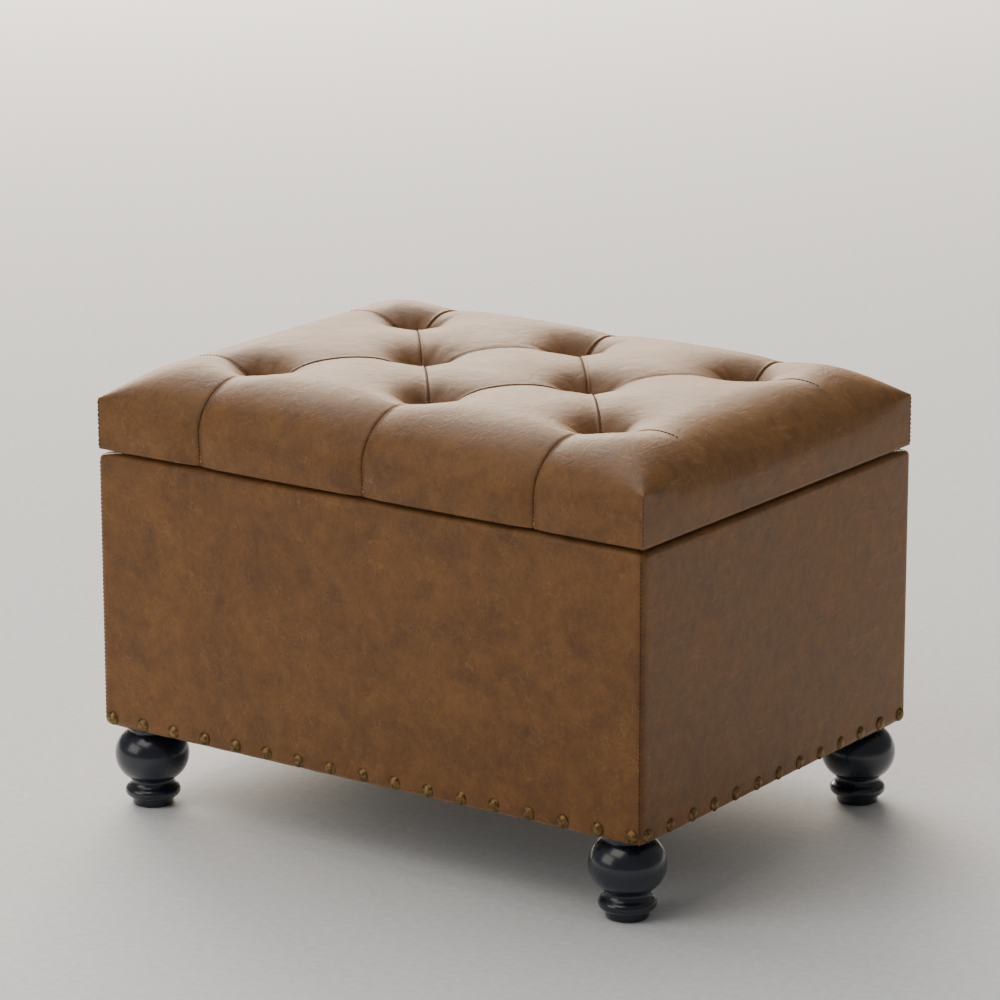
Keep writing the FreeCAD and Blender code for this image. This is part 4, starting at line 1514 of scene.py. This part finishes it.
@dataclass
class NailRow:
    """One row of domed nailheads."""

    finishes: Finishes
    side: BoxSide
    head_radius: float = 6.6 * MM
    head_height: float = 3.0 * MM
    head_rim: float = 0.35 * MM
    head_steps: int = 16
    proud: float = 1.0 * MM
    shank_radius: float = 0.8 * MM
    shank_length: float = 5.0 * MM
    tip_length: float = 1.0 * MM
    seat_radius: float = 5.8 * MM
    wander_mm: float = 0.4
    rise_mm: float = 0.3
    tilt_degrees: float = 4
    long_count: int = 17
    short_count: int = 13

    def __post_init__(self) -> None:
        """Take the row's place from the frame."""
        self.low, self.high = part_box(f"nailheads_{self.side.label}")

    def level(self) -> float:
        """The height of the nails."""
        return (self.low[2] + self.high[2]) / 2

    def places(self) -> list[float]:
        """The nails' places along the side, seen with that side in front."""
        axis = 0 if self.side.is_long else 1
        reach = (self.high[axis] - self.low[axis]) / 2 - self.seat_radius
        count = self.long_count if self.side.is_long else self.short_count
        return [-reach + 2 * reach * number / (count - 1) for number in range(count)]

    def build(self) -> bpy.types.Object:
        """Build the row.

        Returns:
            The piece.
        """
        axis = 1 if self.side.is_long else 0
        face = max(abs(self.low[axis]), abs(self.high[axis])) - self.head_height
        draw = random.Random(self.side.label)
        mesh = bmesh.new()
        for place in self.places():
            shift = draw.uniform(-self.wander_mm, self.wander_mm) * MM
            rise = draw.uniform(-self.rise_mm, self.rise_mm) * MM
            tilt, yaw = (draw.uniform(-self.tilt_degrees, self.tilt_degrees) for _ in range(2))
            centre = Vector((place + shift, -face - self.proud, self.level() + rise))
            self.add_head(mesh, centre, tilt, yaw)
        mesh.transform(self.side.turn)
        name = f"nailheads_{self.side.label}"
        piece = add_piece(f"{name}_domes", mesh, self.finishes.brass, "base")
        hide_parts(name)
        return piece

    def add_head(self, mesh: bmesh.types.BMesh, centre: Vector, tilt: float, yaw: float) -> None:
        """Spin one domed head and its shank.

        Args:
            mesh: the mesh that takes it.
            centre: the middle of the head's underside.
            tilt: its tilt, in degrees.
            yaw: its turn to the side, in degrees.
        """
        dome = (self.head_radius ** 2 + self.head_height ** 2) / (2 * self.head_height)
        reach = math.asin(self.head_radius / dome)
        points = [(0.0, self.shank_length + self.tip_length), (self.shank_radius, self.shank_length),
                  (self.shank_radius, 0.0), (self.head_radius, self.head_rim)]
        points += [(dome * math.sin(reach * share), dome * (1 - math.cos(reach * share)) - self.head_height)
                   for share in (1.0, 0.82, 0.6, 0.38, 0.18, 0.0)]
        turn = Matrix.Translation(centre) @ Matrix.Rotation(math.radians(tilt), 4, "X")
        turn = turn @ Matrix.Rotation(math.radians(yaw), 4, "Z")
        lathe(mesh, points, self.head_steps, turn @ Matrix.Rotation(math.radians(-90), 4, "X"))


def lathe(mesh: bmesh.types.BMesh, points: Outline, steps: int, place: Matrix) -> None:
    """Spin an outline about the Z axis and put it in its place.

    Args:
        mesh: the mesh that takes it.
        points: (radius, height) points from one end of the axis to the other.
        steps: steps in the full turn.
        place: the transform that puts it in its place.
    """
    verts = [mesh.verts.new((radius, 0.0, height)) for radius, height in points]
    edges = [mesh.edges.new(pair) for pair in zip(verts, verts[1:])]
    before = set(mesh.faces)
    bmesh.ops.spin(mesh, geom=verts + edges, axis=(0, 0, 1), cent=(0, 0, 0), steps=steps,
                   angle=math.tau, use_merge=True)
    turned = unique(vert for face in mesh.faces if face not in before for vert in face.verts)
    bmesh.ops.remove_doubles(mesh, verts=turned, dist=WELD)
    faces = [face for face in mesh.faces if face not in before]
    bmesh.ops.recalc_face_normals(mesh, faces=faces)
    bmesh.ops.transform(mesh, matrix=place, verts=unique(vert for face in faces for vert in face.verts))


# ---------------------------------------------------------------- feet


@dataclass
class TurnedFoot:
    """One turned foot: disc, ring, hollow, bulb and neck. Its outline is in millimetres."""

    finishes: Finishes
    name: str
    steps: int = 64
    disc: tuple = ((0.0, 0.0), (17.6, 0.0), (19.2, 0.5), (19.9, 1.8), (20.2, 5.5), (20.6, 7.4))
    ring: tuple = ((20.8, 8.0), (24.9, 18.2), 5.9, 10)
    hollow: tuple = ((23.6, 19.2), (22.4, 20.4), (21.3, 22.0), (20.7, 23.6), (20.6, 25.0))
    bulb: tuple = ((20.8, 26.0), (22.5, 74.4), 27.8, 30)
    neck: tuple = ((22.2, 75.0), (22.5, 75.8))
    rim: tuple = ((22.5, -0.4), (22.1, 0.0), (0.0, 0.0))

    def profile(self) -> Outline:
        """The foot's outline, floor to top.

        Returns:
            (radius, height) points in metres.
        """
        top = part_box(self.name)[1][2]
        lower = [*self.disc, *self.swell(*self.ring), *self.hollow, *self.swell(*self.bulb), *self.neck]
        return ([(radius * MM, height * MM) for radius, height in lower]
                + [(radius * MM, top + height * MM) for radius, height in self.rim])

    @staticmethod
    def swell(start: tuple, stop: tuple, radius: float, steps: int) -> Outline:
        """Points of an arc that bulges outwards, in millimetres.

        Args:
            start: the lower end.
            stop: the upper end.
            radius: its radius.
            steps: the number of pieces.

        Returns:
            (radius, height) points.
        """
        first = Vector(start)
        last = Vector(stop)
        chord = last - first
        across = Vector((-chord.y, chord.x)).normalized()
        centre = (first + last) / 2 + across * math.sqrt(max(radius ** 2 - (chord.length / 2) ** 2, 0.0))
        begin = math.atan2(first.y - centre.y, first.x - centre.x)
        finish = math.atan2(last.y - centre.y, last.x - centre.x)
        angles = [begin + (finish - begin) * step / steps for step in range(steps + 1)]
        return [(centre.x + radius * math.cos(angle), centre.y + radius * math.sin(angle))
                for angle in angles]

    def build(self) -> bpy.types.Object:
        """Build the foot.

        Returns:
            The piece.
        """
        low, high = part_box(self.name)
        centre = Vector(((low[0] + high[0]) / 2, (low[1] + high[1]) / 2, 0.0))
        mesh = bmesh.new()
        lathe(mesh, self.profile(), self.steps, Matrix.Translation(centre))
        piece = add_piece(f"{self.name}_turning", mesh, self.finishes.foot, "base")
        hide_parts(self.name)
        return piece


# ---------------------------------------------------------------- parts of the frame


@dataclass
class Fittings:
    """The frame's own parts, which keep their shapes and get their finishes."""

    frame: dict
    finishes: Finishes

    def dress(self) -> None:
        """Give each of the frame's parts the finish of its slot."""
        by_slot = {
            "steel": self.finishes.steel, "lining_cloth": self.finishes.cloth,
            "frame_wood": self.finishes.board, "batting": self.finishes.foam, "foam": self.finishes.foam,
            "leather": self.finishes.leather, "foot_wood": self.finishes.foot,
            "nail_brass": self.finishes.brass, "bumper_rubber": self.finishes.rubber,
            "tie_cord": self.finishes.thread,
        }
        slots = {part["node"]: part["material_slot"] for part in self.frame["record"]["subparts"]}
        log.info("dressing %d parts of the frame", len(slots))
        for name, part in self.frame["nodes"].items():
            finish = by_slot[slots[name]]
            if not part.material_slots:
                part.data.materials.append(finish)
            for holder in part.material_slots:
                holder.material = finish


# ---------------------------------------------------------------- studio


@dataclass(frozen=True)
class LightPanel:
    """One soft rectangular light."""

    name: str
    place: tuple[float, float, float]
    size: tuple[float, float]
    power: float
    colour: tuple[float, float, float]

    def hang(self, target: Vector) -> None:
        """Hang the light in its place.

        Args:
            target: what it faces.
        """
        light = bpy.data.lights.new(self.name, "AREA")
        light.shape = "RECTANGLE"
        light.size, light.size_y = self.size
        light.energy = self.power
        light.color = self.colour
        add_light(light, Vector(self.place), target - Vector(self.place))


def add_light(light: bpy.types.Light, place: Vector, towards: Vector) -> None:
    """Put a light in the scene.

    Args:
        light: the light.
        place: where it stands.
        towards: the direction in which it shines.
    """
    holder = bpy.data.objects.new(light.name, light)
    holder.location = place
    holder.rotation_euler = towards.to_track_quat("-Z", "Y").to_euler()
    bpy.context.scene.collection.objects.link(holder)


@dataclass
class Studio:
    """Floor, lights and camera."""

    camera_place: Vector = Vector((2.4789, -3.4801, 1.451))
    camera_yaw: float = 35.527
    camera_pitch: float = 15.056
    camera_roll: float = -0.088
    lens: float = 167.45
    sensor: float = 36.0
    far_limit: float = 100.0
    floor_half: float = 20.0
    floor_colour: Colour = rgb(223, 227, 232)
    fleck_colour: Colour = rgb(235, 239, 244)
    fleck_scale: float = 120.0
    fleck_depth: float = 1.0 * MM
    aim: Vector = Vector((0.0, 0.0, 0.3))
    panels: tuple = (
        LightPanel("window", (-5.2, 5.2, 2.9), (5.0, 3.6), 700.0, (1.0, 0.85, 0.68)),
        LightPanel("front_fill", (-2.0, -3.4, 2.0), (2.6, 2.0), 37.0, (1.0, 0.94, 0.86)),
        LightPanel("overhead", (-0.4, -1.8, 3.0), (2.0, 1.6), 26.0, (1.0, 0.93, 0.84)),
    )
    daylight_power: float = 1.6
    daylight_angle: float = 0.9
    daylight_colour: tuple = (1.0, 0.96, 0.9)
    daylight_towards: Vector = Vector((1.6, -1.1, -3.0))
    surround_colour: Colour = (0.98, 0.93, 0.86, 1.0)
    surround_strength: float = 0.24

    def add_floor(self) -> None:
        """A plain pale floor, with a slight fleck."""
        mesh = bmesh.new()
        bmesh.ops.create_grid(mesh, x_segments=1, y_segments=1, size=self.floor_half)
        data = bpy.data.meshes.new("floor")
        mesh.to_mesh(data)
        mesh.free()
        paint = Paint("pale_floor")
        fleck = paint.noise(self.fleck_scale, detail=3.0, roughness=0.6)
        colour = paint.mix(fleck.step(0.3, 0.7), self.floor_colour, self.fleck_colour)
        data.materials.append(paint.finish(Base_Color=colour, Roughness=0.9,
                                           Normal=paint.bump(fleck, self.fleck_depth, 0.3)))
        floor = bpy.data.objects.new("floor", data)
        bpy.context.scene.collection.objects.link(floor)

    def add_lights(self) -> None:
        """A wide window from behind on the left, two soft fills, broad daylight and a pale surround."""
        for panel in self.panels:
            panel.hang(self.aim)
        daylight = bpy.data.lights.new("broad_daylight", "SUN")
        daylight.energy = self.daylight_power
        daylight.angle = self.daylight_angle
        daylight.color = self.daylight_colour
        add_light(daylight, Vector(), self.daylight_towards)
        world = bpy.data.worlds.new("surround")
        world.use_nodes = True
        background = world.node_tree.nodes["Background"]
        background.inputs["Color"].default_value = self.surround_colour
        background.inputs["Strength"].default_value = self.surround_strength
        bpy.context.scene.world = world

    def add_camera(self) -> None:
        """The camera, at the front right."""
        lens = bpy.data.cameras.new("camera")
        lens.lens = self.lens
        lens.sensor_width = self.sensor
        lens.clip_end = self.far_limit
        camera = bpy.data.objects.new("camera", lens)
        turn = Matrix.Rotation(math.radians(self.camera_yaw), 4, "Z")
        turn = turn @ Matrix.Rotation(math.radians(90 - self.camera_pitch), 4, "X")
        turn = turn @ Matrix.Rotation(math.radians(self.camera_roll), 4, "Z")
        camera.matrix_world = Matrix.Translation(self.camera_place) @ turn
        bpy.context.scene.collection.objects.link(camera)
        bpy.context.scene.camera = camera

    def build(self) -> None:
        """Set up the studio."""
        self.add_floor()
        self.add_lights()
        self.add_camera()


def main() -> None:
    """Build the ottoman's looks around the frame."""
    logging.basicConfig(level=logging.INFO, format="%(name)s: %(message)s")
    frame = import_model()
    finishes = Finishes()
    Studio().build()
    Fittings(frame, finishes).dress()
    lid = TuftedLid(finishes)
    lid.build()
    lid.stitch()
    LeatherBox(finishes).build()
    for side in BoxSide:
        NailRow(finishes, side).build()
    for corner in ("front_left", "front_right", "rear_left", "rear_right"):
        TurnedFoot(finishes, f"foot_{corner}").build()


if __name__ == "__main__":
    main()
